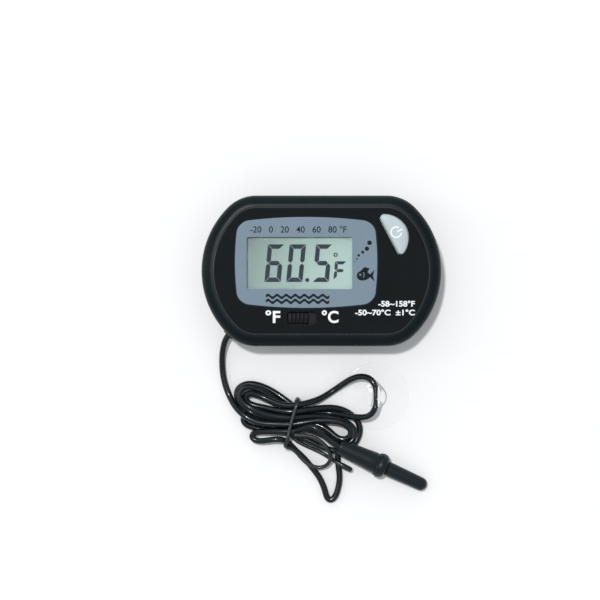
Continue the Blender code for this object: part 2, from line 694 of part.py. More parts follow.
def label_plate():
    label = plate("label_plate", label_outline(0), LABEL_BOTTOM, LABEL_TOP, "label_film")
    window = plate(
        "label_window",
        rounded_rectangle(WINDOW_CENTRE, WINDOW_LENGTH, WINDOW_HEIGHT, WINDOW_CORNER),
        LABEL_BOTTOM - CUT_OVERRUN,
        LABEL_TOP + CUT_OVERRUN,
    )
    cut(label, window)
    return label


def display():
    """The lens, the two glasses of the display, the reflector and the strip that joins it to the board."""
    length, height = WINDOW_LENGTH + 2 * LENS_LAP, WINDOW_HEIGHT + 2 * LENS_LAP
    plate(
        "window_lens",
        rounded_rectangle(WINDOW_CENTRE, length, height, WINDOW_CORNER),
        LENS_TOP - LENS_THICKNESS,
        LENS_TOP,
        "clear_plastic",
    )
    length, height = WINDOW_LENGTH + 2 * GLASS_MARGIN, WINDOW_HEIGHT + GLASS_MARGIN
    ledge_centre = WINDOW_CENTRE - Vector((0, GLASS_LEDGE / 2))
    block(
        "lcd_front_glass",
        ledge_centre,
        (length, height + GLASS_LEDGE),
        FRONT_GLASS_TOP - GLASS_THICKNESS,
        FRONT_GLASS_TOP,
        "display_glass",
    )
    block(
        "lcd_rear_glass",
        WINDOW_CENTRE,
        (length, height),
        REAR_GLASS_TOP - GLASS_THICKNESS,
        REAR_GLASS_TOP,
        "display_glass",
    )
    block(
        "lcd_reflector",
        WINDOW_CENTRE,
        (length, height),
        REFLECTOR_TOP - REFLECTOR_THICKNESS,
        REFLECTOR_TOP,
        "display_reflector",
    )
    strip_y = WINDOW_CENTRE.y - height / 2 - GLASS_LEDGE / 2 - GAP / 2
    block(
        "zebra_strip",
        (WINDOW_CENTRE.x, strip_y),
        (length - 2 * MM, ZEBRA_WIDTH),
        BOARD_TOP + GAP,
        FRONT_GLASS_TOP - GLASS_THICKNESS - GAP,
        "rubber_strip",
    )


def circuit_board():
    board = plate("circuit_board", board_outline(), BOARD_BOTTOM, BOARD_TOP, "circuit_board")
    for number, place in enumerate(board_screw_places(), 1):
        hole = cylinder(
            f"board_hole_{number}", place, BOARD_SCREW_RADIUS + 0.2 * MM,
            BOARD_BOTTOM - CUT_OVERRUN, BOARD_TOP + CUT_OVERRUN, steps=16,
        )
        cut(board, hole)
    top = BOARD_BOTTOM - GAP
    radius, height = CHIP["radius"] * MM, CHIP["height"] * MM
    levels = [math.radians(90 * k / 4) for k in range(5)]
    dome = [(radius * math.cos(a), -height * math.sin(a)) for a in levels[:-1]]
    blob = turned("chip_blob", [(0, 0), *dome, (0, -height)], "chip_epoxy", 20)
    blob.location = (CHIP["centre"][0] * MM, CHIP["centre"][1] * MM, top)
    radius, length = CRYSTAL["radius"] * MM, CRYSTAL["length"] * MM
    bevel = 0.2 * MM
    can = [(0, length), (radius - bevel, length), (radius, length - bevel), (radius, 0), (0, 0)]
    crystal = turned("crystal", can, "steel", 16)
    start = Vector((CRYSTAL["centre"][0] * MM, CRYSTAL["centre"][1] * MM, top - radius))
    point_along(crystal, start, (1, 0, 0))
    for name, facts in SMALL_PARTS.items():
        centre = [value * MM for value in facts["centre"]]
        length, width, height = (value * MM for value in facts["size"])
        block(name, centre, (length, width), top - height, top, "component")


def power_button():
    """The cap with its flange and stem, and the silicone dome under it."""
    cap_top = THICKNESS + BUTTON_PROUD
    profile = [
        (-2.6 * MM, cap_top),
        (-1.1 * MM, cap_top - 0.12 * MM),
        (-0.35 * MM, cap_top - 0.35 * MM),
        (0, cap_top - 0.75 * MM),
        (0, BUTTON_FLANGE_TOP),
        (BUTTON_FLANGE, BUTTON_FLANGE_TOP),
        (BUTTON_FLANGE, BUTTON_FLANGE_BOTTOM),
    ]
    button = stacked(
        "power_button", [raised(button_outline(m), z) for m, z in profile], "grey_button"
    )
    dome_top = BUTTON_FLANGE_BOTTOM - 1.5 * MM - GAP
    stem = cylinder(
        "button_stem", button_middle(), BUTTON_STEM_RADIUS, dome_top + GAP, BUTTON_FLANGE_TOP - 0.2 * MM
    )
    fuse(button, stem)
    foot = BOARD_TOP + GAP
    height = dome_top - foot
    dome_profile = [
        (0, height),
        (BUTTON_STEM_RADIUS, height),
        (BUTTON_STEM_RADIUS + 0.2 * MM, height * 0.7),
        (DOME_RADIUS - 0.4 * MM, height * 0.25),
        (DOME_RADIUS, 0),
        (0, 0),
    ]
    dome = turned("contact_dome", dome_profile, "silicone", 20)
    dome.location = (*button_middle(), foot)


def unit_switch():
    """The base on the board and the ribbed knob, whose skirt covers the slot at both ends."""
    stem_low = SWITCH_BASE_TOP - 1.2 * MM
    knob_top = THICKNESS - KNOB_RECESS
    base = block(
        "unit_switch_base", SWITCH_CENTRE, (9.6 * MM, 4.4 * MM), BOARD_TOP + GAP, SWITCH_BASE_TOP, "steel"
    )
    way = block(
        "switch_way",
        SWITCH_CENTRE,
        (STEM_LENGTH + SWITCH_TRAVEL + 2 * GAP, STEM_HEIGHT + 2 * GAP),
        stem_low - GAP,
        SWITCH_BASE_TOP + CUT_OVERRUN,
    )
    cut(base, way)
    skirt_length = SLOT_LENGTH + SWITCH_TRAVEL + 2 * KNOB_GAP
    knob = block(
        "unit_switch_knob",
        KNOB_CENTRE,
        (skirt_length, SLOT_HEIGHT + 2 * KNOB_GAP),
        SKIRT_TOP - SKIRT_THICKNESS,
        SKIRT_TOP,
        "black_knob",
    )
    cap = block(
        "knob_cap", KNOB_CENTRE, (KNOB_LENGTH, KNOB_HEIGHT), SKIRT_TOP - 0.1 * MM, knob_top, "black_knob"
    )
    stem = block(
        "knob_stem", KNOB_CENTRE, (STEM_LENGTH, STEM_HEIGHT), stem_low, SKIRT_TOP - 0.1 * MM, "black_knob"
    )
    fuse(knob, cap, stem)
    pitch = KNOB_LENGTH / KNOB_RIBS
    for k in range(KNOB_RIBS - 1):
        x = KNOB_CENTRE.x - KNOB_LENGTH / 2 + pitch * (k + 1)
        groove = block(
            f"knob_groove_{k + 1}", (x, KNOB_CENTRE.y), (pitch * 0.45, SLOT_HEIGHT),
            knob_top - 0.35 * MM, knob_top + CUT_OVERRUN,
        )
        cut(knob, groove)


def battery():
    """The cell, standing on the door with its small pole up, and its two contacts."""
    radius, bevel = BATTERY_DIAMETER / 2, 0.3 * MM
    pole_radius, pole_height = radius * 0.82, 0.4 * MM
    can_top = BATTERY_HEIGHT - pole_height
    profile = [
        (0, BATTERY_HEIGHT),
        (pole_radius, BATTERY_HEIGHT),
        (pole_radius, can_top),
        (radius - bevel, can_top),
        (radius, can_top - bevel),
        (radius, bevel),
        (radius - bevel, 0),
        (0, 0),
    ]
    cell = turned("battery", profile, "steel", 32)
    cell.location = (*BATTERY_CENTRE, BATTERY_BOTTOM)
    top = BOARD_BOTTOM - GAP
    leaf = 0.3 * MM
    x = BATTERY_CENTRE.x + radius + 0.3 * MM
    clip = block(
        "battery_clip_positive",
        (x + leaf / 2, BATTERY_CENTRE.y),
        (leaf, 3.0 * MM),
        BATTERY_BOTTOM + 0.8 * MM,
        top,
        "brass",
    )
    tab = block(
        "clip_tab", (x + 1.4 * MM, BATTERY_CENTRE.y), (2.8 * MM, 3.0 * MM), top - leaf, top, "brass"
    )
    fuse(clip, tab)
    low = BATTERY_TOP + GAP
    bends = [(-5.6, top), (-3.6, top), (-1.0, low + leaf), (1.4, low + leaf), (2.6, low + 0.8 * MM)]
    upper = [(a * MM, z) for a, z in bends]
    lower = [(a, z - leaf) for a, z in reversed(upper)]
    rings = []
    for y in (-1.5 * MM, 1.5 * MM):
        rings.append(
            [(BATTERY_CENTRE.x + a, BATTERY_CENTRE.y + y, z) for a, z in upper + lower]
        )
    stacked("battery_spring_negative", rings, "brass")


def screw(name, place, head_low, head_radius, head_height, radius, length):
    """A screw driven up from behind: head, shank and a blunt tip, with a cross recess."""
    tip = 0.4 * MM
    profile = [
        (0, head_height + length),
        (radius - tip, head_height + length),
        (radius, head_height + length - tip),
        (radius, head_height),
        (head_radius, head_height),
        (head_radius, 0.25 * MM),
        (head_radius - 0.25 * MM, 0),
        (0, 0),
    ]
    made = turned(name, profile, "steel", 16)
    made.location = (*place, head_low)
    reach = head_radius * 1.2
    for k, size in enumerate(((reach, 0.35 * MM), (0.35 * MM, reach))):
        recess = block(f"{name}_recess_{k}", place, size, head_low - CUT_OVERRUN, head_low + 0.5 * MM)
        cut(made, recess)


def screws():
    for number, place in enumerate(screw_places(), 1):
        screw(
            f"case_screw_{number}", place, SCREW_DEPTH, SCREW_HEAD_RADIUS, SCREW_HEAD_HEIGHT,
            SCREW_RADIUS, SCREW_LENGTH,
        )
    for number, place in enumerate(board_screw_places(), 1):
        head = 0.8 * MM
        screw(
            f"board_screw_{number}", place, BOARD_BOTTOM - GAP - head, 1.1 * MM, head,
            BOARD_SCREW_RADIUS, 4.0 * MM,
        )


def lead_entry():
    """The grommet in the wall, the end of the lead inside the housing and its two cores."""
    place, outward = lead_exit()
    radius, bore = GROMMET_RADIUS, LEAD_RADIUS + LEAD_CLEARANCE
    flange, inner = radius + 0.35 * MM, -LIP_INNER_INSET - 0.2 * MM
    profile = [
        (bore, GROMMET_PROUD),
        (radius - 0.2 * MM, GROMMET_PROUD),
        (radius, GROMMET_PROUD - 0.2 * MM),
        (radius, inner - 0.1 * MM),
        (flange, inner - 0.1 * MM),
        (flange, inner - 0.7 * MM),
        (bore, inner - 0.7 * MM),
        (bore, GROMMET_PROUD),
    ]
    grommet = turned("lead_grommet", profile, "lead_jacket", 20)
    point_along(grommet, place, outward)
    start = place - outward * 0.6 * MM
    inside = [start, start - outward * 2.5 * MM, start - outward * 5.0 * MM + Vector((0, 0, 0.5 * MM))]
    tube("lead_inner", inside, LEAD_RADIUS, "lead_jacket", 1.8 * MM)
    side = Vector((-outward.y, outward.x, 0)) * 0.5 * MM
    end = inside[-1] - outward * GAP + Vector((0, 0, 0.05 * MM))
    top = BOARD_BOTTOM - GAP
    for name, sign in (("core_red", 1), ("core_black", -1)):
        first = end + side * sign
        pad = first - outward * 5.5 * MM + side * sign * 3
        cores = [
            first,
            first - outward * 1.6 * MM + Vector((0, 0, 0.8 * MM)),
            first - outward * 4.0 * MM + side * sign * 1.5 + Vector((0, 0, 2.6 * MM)),
            Vector((pad.x, pad.y, top - CORE_RADIUS)),
        ]
        tube(name, cores, CORE_RADIUS, name, 1.2 * MM)


def free_lead():
    """The stretches of lead outside the bundle, the bundle as one solid, and its wire tie."""
    runs = {
        "lead_run": LEAD_RUN,
        "lead_cup_run": LEAD_CUP_RUN,
        "lead_v_run": LEAD_V_RUN,
        "lead_probe_run": LEAD_PROBE_RUN,
    }
    for name, route in runs.items():
        points = [Vector(p) * MM for p in route]
        tube(name, points, LEAD_RADIUS, "lead_jacket", LEAD_POINT_STEP)
    outline = [(x * MM, y * MM) for x, y in HANK_OUTLINE]
    soft = 0.8 * MM
    centre = Vector((sum(x for x, y in outline), sum(y for x, y in outline))) / len(outline)
    rings = []
    for shrink, z in ((soft, HANK_BOTTOM), (0, HANK_BOTTOM + soft), (0, HANK_TOP - soft), (soft, HANK_TOP)):
        ring = []
        for x, y in outline:
            inward = (centre - Vector((x, y))).normalized() * shrink
            ring.append((x + inward.x, y + inward.y, z))
        rings.append(ring)
    stacked("lead_hank", rings, "lead_jacket")
    tube("twist_tie", [Vector(p) * MM for p in TIE_ROUTE], TIE_RADIUS, "tie_wire", 1.6 * MM)


def suction_cup():
    """A clear cup lying rim down, turned in one piece with its nub, and the lead's hole through that."""
    edge = 0.35 * MM
    neck = CUP_DOME_HEIGHT
    top = NUB_TOP
    outer = [
        (0, top),
        (NUB_RADIUS - 0.8 * MM, top),
        (NUB_RADIUS - 0.2 * MM, top - 0.25 * MM),
        (NUB_RADIUS, top - 0.9 * MM),
        (NUB_RADIUS, neck + 0.9 * MM),
        (NUB_RADIUS + 0.5 * MM, neck),
    ]
    reach = CUP_RADIUS - NUB_RADIUS - 0.5 * MM
    for k in range(1, 6):
        share = k / 6
        height = edge + (neck - edge) * (1 - share) ** 1.15
        outer.append((NUB_RADIUS + 0.5 * MM + reach * share, height))
    outer += [(CUP_RADIUS, edge), (CUP_RADIUS - 0.1 * MM, 0), (CUP_RADIUS - 0.7 * MM, 0)]
    inner = []
    for k in range(1, 6):
        share = 1 - k / 6
        inner.append(((CUP_RADIUS - 0.7 * MM) * share, (neck - CUP_WALL) * (1 - share**2)))
    cup = turned("suction_cup", outer + inner + [(0, neck - CUP_WALL)], "clear_pvc", 40)
    hole = cylinder("cup_hole", (0, 0), NUB_HOLE_RADIUS, -2 * NUB_RADIUS, 2 * NUB_RADIUS, steps=20)
    point_along(hole, (0, 0, 0), (0, 1, 0))
    cut(cup, hole)
    axis = bpy.data.objects.new("suction_cup_axis", None)
    axis.location = (*CUP_CENTRE, NUB_HOLE_HEIGHT)
    PARTS.objects.link(axis)
    cup.parent = axis
    cup.location = (0, 0, -NUB_HOLE_HEIGHT)
    hole.parent = axis
    return cup


def probe():
    """The soft barrel with its collar, the hollow nose pressed into it, and the thermistor inside."""
    direction = (PROBE_TIP - PROBE_REAR).normalized()
    total = (PROBE_TIP - PROBE_REAR).length
    collar_end = BARREL_LENGTH + COLLAR_LENGTH
    bore = LEAD_RADIUS + 0.3 * MM
    socket = NOSE_SPIGOT_RADIUS + GAP
    socket_depth = NOSE_SPIGOT_LENGTH + GAP
    bead = [math.radians(90 * k / 3) for k in range(-3, 4)]
    barrel = [(socket, collar_end)]
    for a in reversed(bead):
        radius = COLLAR_RADIUS - 0.9 * MM * (1 - math.cos(a))
        barrel.append((radius, BARREL_LENGTH + COLLAR_LENGTH / 2 * (1 + math.sin(a))))
    barrel += [
        (BARREL_FRONT_RADIUS - 0.1 * MM, BARREL_LENGTH - 0.4 * MM),
        ((BARREL_FRONT_RADIUS + BARREL_REAR_RADIUS) / 2 + 0.15 * MM, BARREL_LENGTH * 0.45),
        (BARREL_REAR_RADIUS, 0.3 * MM),
        (BARREL_REAR_RADIUS - 0.3 * MM, 0),
        (bore, 0),
        (bore, collar_end - socket_depth),
        (socket, collar_end - socket_depth),
        (socket, collar_end),
    ]
    point_along(turned("probe_barrel", barrel, "probe_plastic", 28), PROBE_REAR, direction)

    root = collar_end - NOSE_SPIGOT_LENGTH
    shoulder = collar_end + GAP
    round_tip = [math.radians(90 * k / 5) for k in range(6)]
    nose = [(0, total)]
    for a in reversed(round_tip[:-1]):
        nose.append((NOSE_TIP_RADIUS * math.cos(a), total - NOSE_TIP_RADIUS * (1 - math.sin(a))))
    cavity = NOSE_SPIGOT_RADIUS - NOSE_WALL
    cavity_end = total - NOSE_TIP_RADIUS
    nose += [
        (NOSE_REAR_RADIUS, shoulder + 0.2 * MM),
        (NOSE_REAR_RADIUS - 0.2 * MM, shoulder),
        (NOSE_SPIGOT_RADIUS, shoulder),
        (NOSE_SPIGOT_RADIUS, root),
        (cavity, root),
        (cavity, cavity_end - 0.6 * MM),
        (0, cavity_end),
    ]
    point_along(turned("probe_nose", nose, "probe_plastic", 28), PROBE_REAR, direction)

    bulb = cavity_end - 0.9 * MM
    bead = [math.radians(-90 + 180 * k / 6) for k in range(7)]
    thermistor = [
        (THERMISTOR_RADIUS * math.cos(a), bulb - THERMISTOR_RADIUS + THERMISTOR_RADIUS * math.sin(a))
        for a in reversed(bead[1:-1])
    ]
    thermistor = [(0, bulb), *thermistor, (0, bulb - 2 * THERMISTOR_RADIUS)]
    point_along(turned("thermistor", thermistor, "thermistor", 16), PROBE_REAR, direction)

    inside_end = root - 1.6 * MM
    jacket = [PROBE_REAR + direction * d for d in (0.5 * MM, inside_end / 2, inside_end)]
    tube("lead_in_probe", jacket, LEAD_RADIUS, "lead_jacket", 4 * MM)
    side = direction.cross(Vector((0, 0, 1))).normalized() * (CORE_RADIUS + 0.15 * MM)
    for name, sign in (("probe_core_red", 1), ("probe_core_black", -1)):
        start, stop = inside_end + GAP, bulb - 2 * THERMISTOR_RADIUS - GAP
        cores = [PROBE_REAR + direction * d + side * sign for d in (start, (start + stop) / 2, stop)]
        tube(name, cores, CORE_RADIUS, name.replace("probe_", ""), 4 * MM)


clear_scene()
PARTS = new_collection("aquarium_thermometer")
CUTTERS = new_collection("cutters")
MATERIALS = make_materials()
rear_cover()
battery_door()
front_cover()
label_plate()
display()
circuit_board()
power_button()
unit_switch()
battery()
screws()
lead_entry()
free_lead()
suction_cup()
probe()
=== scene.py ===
"""Looks of the digital aquarium thermometer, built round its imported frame.

The unit lies on its back on a pale table, seen straight from above. Blender's lengths are metres:
a length is written as millimetres times MM, or in plain millimetres where a helper multiplies it.
Each section below holds one piece or one group of like pieces.
"""

import math

import bmesh
import bpy
import numpy as np
from mathutils import Matrix, Vector


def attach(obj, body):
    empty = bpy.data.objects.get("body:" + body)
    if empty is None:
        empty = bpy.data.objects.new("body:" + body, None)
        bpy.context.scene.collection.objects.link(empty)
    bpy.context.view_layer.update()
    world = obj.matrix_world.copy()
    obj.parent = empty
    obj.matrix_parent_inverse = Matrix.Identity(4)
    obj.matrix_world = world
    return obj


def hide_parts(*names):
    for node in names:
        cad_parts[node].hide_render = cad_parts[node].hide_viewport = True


MM = 0.001

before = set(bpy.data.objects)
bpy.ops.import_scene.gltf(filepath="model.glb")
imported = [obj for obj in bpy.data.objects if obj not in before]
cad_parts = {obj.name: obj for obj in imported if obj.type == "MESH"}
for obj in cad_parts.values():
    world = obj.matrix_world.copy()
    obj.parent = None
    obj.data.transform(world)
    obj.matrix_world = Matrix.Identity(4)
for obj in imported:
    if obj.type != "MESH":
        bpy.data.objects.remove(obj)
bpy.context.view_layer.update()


# ---- Camera, table and light ----------------------------------------------------------------
# The camera looks straight down through a long lens at a large white table. A high key lamp, a
# little to the upper left, gives the grey shadows at the lower right, and two soft lamps and a
# pale sky fill them.

CAMERA_PLACE = Vector((-6.52, -8.86, 926.5)) * MM
CAMERA_LENS = 180.0

camera_data = bpy.data.cameras.new("camera")
camera_data.lens = CAMERA_LENS
camera_data.sensor_width = 36.0
camera_data.clip_start = 10 * MM
camera = bpy.data.objects.new("camera", camera_data)
camera.location = CAMERA_PLACE
bpy.context.scene.collection.objects.link(camera)
bpy.context.scene.camera = camera

table_bm = bmesh.new()
bmesh.ops.create_grid(table_bm, x_segments=1, y_segments=1, size=3.0)
bmesh.ops.translate(table_bm, verts=table_bm.verts, vec=(0, 0, -0.05 * MM))
table_mesh = bpy.data.meshes.new("table")
table_bm.to_mesh(table_mesh)
table_bm.free()
table = bpy.data.objects.new("table", table_mesh)
bpy.context.scene.collection.objects.link(table)
table_white = bpy.data.materials.new("table_white")
table_white.use_nodes = True
table_white.node_tree.nodes["Principled BSDF"].inputs["Base Color"].default_value = (0.9, 0.9, 0.9, 1)
table_white.node_tree.nodes["Principled BSDF"].inputs["Roughness"].default_value = 0.9
table_white.node_tree.nodes["Principled BSDF"].inputs["Specular IOR Level"].default_value = 0.0
table_mesh.materials.append(table_white)

world = bpy.data.worlds.new("studio")
world.use_nodes = True
world.node_tree.nodes["Background"].inputs["Color"].default_value = (0.93, 0.97, 1.0, 1)
world.node_tree.nodes["Background"].inputs["Strength"].default_value = 0.56
bpy.context.scene.world = world
bpy.context.scene.view_settings.view_transform = "Standard"


def lamp(name, kind, place, target, energy, size):
    """A lamp turned towards a point: a sun by its angle, an area lamp by its side."""
    data = bpy.data.lights.new(name, kind)
    data.energy = energy
    if kind == "SUN":
        data.angle = size
    else:
        data.shape = "RECTANGLE"
        data.size, data.size_y = size
    made = bpy.data.objects.new(name, data)
    made.location = place
    made.rotation_euler = (Vector(target) - Vector(place)).to_track_quat("-Z", "Y").to_euler()
    bpy.context.scene.collection.objects.link(made)
    return made


lamp("key", "SUN", (-0.14, 0.2, 1.0), (0, 0, 0), 1.75, math.radians(4))
lamp("top_softbox", "AREA", (-0.1, 0.75, 0.38), (0, 0, 0), 0.9, (0.9, 0.3))
lamp("left_softbox", "AREA", (-0.7, 0.1, 0.3), (0, 0, 0), 0.6, (0.2, 0.7))


# ---- Lead ------------------------------------------------------------------------------------
# One thin round lead with a glossy soft jacket. It leaves the housing, is bundled in loose loops
# under a wire tie, passes through the suction cup's nub and ends in the probe.

LEAD_DIAMETER = 1.9 * MM
LEAD_STEP = 0.8 * MM  # between the points that settle
LEAD_FINE_STEP = 0.4 * MM  # between the points of the finished line
SAME_BEND = 4.0 * MM  # points nearer than this along the lead don't push each other
SETTLE_TURNS = 260

HOUSING_TO_TIE = [
    (-28.05, -19.06, 4.4), (-29.1, -20.3, 4.3), (-29.75, -21.9, 3.8), (-30.25, -24.0, 2.8),
    (-30.5, -26.4, 1.75), (-30.45, -28.9, 1.15), (-30.2, -31.5, 0.95), (-29.75, -33.6, 0.95),
    (-29.0, -36.0, 0.95), (-28.3, -37.7, 1.0), (-27.4, -39.4, 1.3), (-26.1, -41.6, 2.2),
    (-24.2, -43.7, 3.2), (-21.9, -45.3, 3.6), (-19.5, -46.4, 3.7), (-17.0, -46.8, 3.75),
    (-13.5, -46.9, 3.8), (-9.7, -47.0, 3.8),
]
INNER_RIGHT_LOOP = [
    (-6.5, -46.6, 3.8), (-3.0, -46.0, 3.8), (0.5, -45.8, 3.8), (3.6, -46.0, 3.8), (6.4, -46.7, 3.8),
    (8.5, -48.0, 3.8), (9.3, -49.8, 3.8), (8.6, -51.4, 3.6), (7.0, -52.2, 3.4), (5.2, -51.9, 3.3),
    (3.7, -50.7, 3.1), (2.2, -49.3, 2.9), (0.4, -48.0, 2.7), (-2.0, -47.0, 2.4), (-5.5, -46.3, 2.2),
    (-9.3, -46.0, 2.15),
]
OUTER_LEFT_LOOP = [
    (-12.5, -45.8, 2.15), (-16.0, -45.2, 2.3), (-19.5, -44.3, 2.4), (-22.3, -43.0, 2.3),
    (-24.4, -41.5, 1.7), (-26.0, -39.5, 1.1), (-26.4, -37.4, 0.95), (-24.9, -35.4, 0.95),
    (-22.4, -34.8, 0.95), (-19.2, -35.4, 0.95), (-15.3, -37.3, 1.1), (-11.7, -39.9, 1.6),
    (-8.9, -42.1, 2.15),
]
THROUGH_THE_CUP = [
    (-6.0, -43.2, 2.1), (-2.0, -43.7, 1.3), (2.5, -43.8, 0.95), (6.5, -44.3, 2.0), (9.6, -44.8, 3.2),
    (11.8, -45.0, 3.9), (13.3, -44.95, 4.3), (14.4, -44.6, 5.0), (15.5, -43.9, 5.7),
    (16.35, -42.7, 6.2), (16.63, -41.2, 6.3), (16.63, -38.5, 6.3), (16.63, -36.0, 6.3),
    (16.2, -34.2, 6.25), (14.9, -32.9, 5.9), (12.9, -32.3, 5.0), (10.6, -32.6, 3.9), (8.3, -33.7, 2.8),
    (6.3, -35.1, 1.7), (4.3, -36.5, 1.1), (2.4, -37.8, 1.15), (0.4, -39.0, 1.7), (-1.4, -39.8, 2.4),
    (-2.9, -40.3, 2.9), (-5.0, -40.9, 3.5), (-7.5, -41.4, 3.8),
]
INNER_LEFT_LOOP = [
    (-9.2, -41.6, 3.8), (-11.6, -41.4, 3.8), (-14.0, -40.7, 3.8), (-16.4, -39.5, 3.8),
    (-18.9, -38.3, 3.6), (-21.1, -37.5, 3.0), (-23.1, -37.7, 2.6), (-24.0, -39.1, 2.4),
    (-23.1, -40.6, 2.2), (-20.9, -41.5, 2.3), (-18.1, -42.0, 2.6), (-15.6, -42.6, 3.0),
    (-12.4, -43.1, 3.5), (-9.5, -43.4, 3.8),
]
OUTER_RIGHT_LOOP = [
    (-6.0, -43.2, 3.6), (-2.5, -42.9, 3.1), (1.0, -42.8, 2.4), (4.2, -43.2, 1.6), (7.3, -44.2, 0.95),
    (9.9, -45.6, 0.95), (11.4, -47.4, 0.95), (11.8, -49.5, 0.95), (11.2, -51.6, 0.95),
    (9.8, -53.4, 1.2), (7.8, -54.7, 1.9), (5.4, -55.2, 2.85), (2.8, -54.8, 2.8), (0.0, -53.8, 2.6),
    (-3.0, -52.4, 2.5), (-6.0, -51.0, 2.3), (-9.3, -49.9, 2.15),
]
LOWER_LEFT_LOOP = [
    (-12.2, -49.4, 1.9), (-15.5, -48.9, 1.3), (-18.8, -48.7, 0.95), (-21.4, -48.1, 0.95),
    (-23.4, -47.3, 0.95), (-24.3, -45.6, 0.95), (-23.4, -44.1, 0.95), (-21.3, -44.0, 0.95),
    (-18.9, -45.4, 0.95), (-15.5, -46.9, 1.2), (-12.3, -47.7, 1.8), (-9.3, -47.9, 2.15),
]
MIDDLE_RIGHT_LOOP = [
    (-6.0, -48.1, 2.4), (-3.0, -48.8, 2.6), (0.0, -49.9, 2.7), (2.4, -51.2, 2.8), (4.4, -52.6, 2.9),
    (6.6, -53.5, 2.8), (8.8, -53.0, 2.6), (10.3, -51.6, 2.45), (10.7, -49.5, 2.45),
    (10.0, -47.7, 2.45), (8.2, -46.2, 2.4), (5.6, -45.2, 2.3), (2.6, -44.7, 2.3), (0.1, -44.6, 2.6),
    (-4.2, -44.9, 3.3), (-7.5, -45.2, 3.7), (-9.7, -45.2, 3.8),
]
MIDDLE_LEFT_LOOP = [
    (-12.4, -44.9, 3.8), (-15.6, -44.4, 3.8), (-18.9, -43.4, 3.9), (-21.8, -41.9, 3.8),
    (-23.8, -40.4, 3.2), (-25.0, -38.6, 2.6), (-24.9, -36.6, 2.4), (-23.0, -35.6, 2.4),
    (-20.3, -36.2, 2.4), (-17.0, -37.8, 2.4), (-13.2, -40.3, 2.3), (-9.6, -43.0, 2.15),
]
LONG_LOOP = [
    (-6.5, -45.0, 2.0), (-3.5, -46.2, 1.2), (0.0, -47.9, 0.95), (3.0, -49.8, 0.95), (4.9, -52.0, 0.95),
    (5.4, -54.2, 0.95), (5.2, -56.1, 0.95), (5.1, -57.8, 0.95), (5.3, -59.8, 0.95),
    (5.6, -61.9, 0.95), (5.75, -63.8, 0.95), (5.5, -66.0, 0.95), (4.95, -68.1, 0.95),
    (4.25, -69.8, 0.95), (3.3, -70.85, 0.95), (2.2, -70.8, 0.95), (1.6, -69.6, 0.95),
    (1.25, -67.8, 0.95), (0.5, -65.7, 0.95), (-0.7, -63.3, 0.95), (-2.6, -60.8, 0.95),
    (-4.5, -58.5, 0.95), (-6.4, -56.5, 1.0), (-7.9, -55.2, 1.25), (-9.3, -53.6, 1.9),
    (-10.7, -52.2, 2.8),
]
LAST_LEFT_LOOP = [
    (-12.8, -51.6, 3.2), (-15.0, -51.7, 3.0), (-17.9, -52.1, 2.2), (-20.3, -52.0, 1.6),
    (-21.7, -50.6, 1.4), (-20.4, -49.2, 1.6), (-17.5, -49.0, 2.3), (-14.5, -49.0, 3.0),
    (-11.5, -49.0, 3.6), (-9.6, -48.9, 3.8),
]
TIE_TO_PROBE = [
    (-7.4, -48.6, 4.1), (-5.2, -47.7, 4.9), (-3.3, -47.3, 5.7), (-1.7, -47.9, 6.1), (-0.4, -49.2, 6.2),
    (1.0, -50.5, 6.2), (2.7, -51.9, 6.25), (4.7, -53.3, 6.3), (5.59, -53.77, 6.26),
]
LEAD_ROUTE = (
    HOUSING_TO_TIE + INNER_RIGHT_LOOP + OUTER_LEFT_LOOP + THROUGH_THE_CUP + INNER_LEFT_LOOP
    + OUTER_RIGHT_LOOP + LOWER_LEFT_LOOP + MIDDLE_RIGHT_LOOP + MIDDLE_LEFT_LOOP + LONG_LOOP
    + LAST_LEFT_LOOP + TIE_TO_PROBE
)

TIE_DIAMETER = 1.2 * MM
TIE_ROUTE = [
    (-8.2, -50.3, 5.85), (-6.4, -50.35, 5.85), (-3.8, -50.65, 5.85), (-1.3, -51.5, 5.85),
    (0.6, -52.9, 5.85), (2.0, -54.6, 5.8), (2.8, -56.6, 5.2), (2.6, -58.4, 4.0), (1.3, -59.9, 3.0),
    (-0.6, -60.4, 2.7), (-2.6, -60.0, 2.75), (-4.6, -58.9, 2.8), (-6.4, -57.2, 2.8),
    (-7.9, -55.4, 3.1), (-9.4, -54.4, 3.4), (-10.7, -54.1, 3.9), (-11.0, -53.4, 5.0),
    (-10.5, -52.0, 5.75), (-9.9, -49.5, 5.85), (-9.2, -46.5, 5.85), (-8.3, -43.5, 5.85),
    (-7.5, -40.8, 5.7), (-7.2, -39.6, 4.6), (-7.2, -39.3, 3.0), (-7.4, -39.5, 1.4),
    (-7.8, -40.6, 0.65), (-8.5, -43.5, 0.6), (-9.4, -47.5, 0.6), (-9.3, -50.4, 0.6),
    (-7.6, -52.2, 0.6), (-4.5, -53.9, 0.6), (-1.0, -55.5, 0.6), (1.4, -56.8, 0.9),
    (3.2, -57.9, 2.0), (5.2, -59.0, 2.75), (7.3, -60.2, 2.7), (9.4, -61.3, 2.4),
]

CUP_CENTRE = Vector((16.63, -38.51)) * MM
NUB_HOLE_HEIGHT = 6.3 * MM
PROBE_REAR = Vector((5.32, -53.64, 6.3)) * MM
PROBE_TIP = Vector((32.4, -66.3, 2.05)) * MM
PROBE_LINE = (PROBE_TIP - PROBE_REAR).normalized()


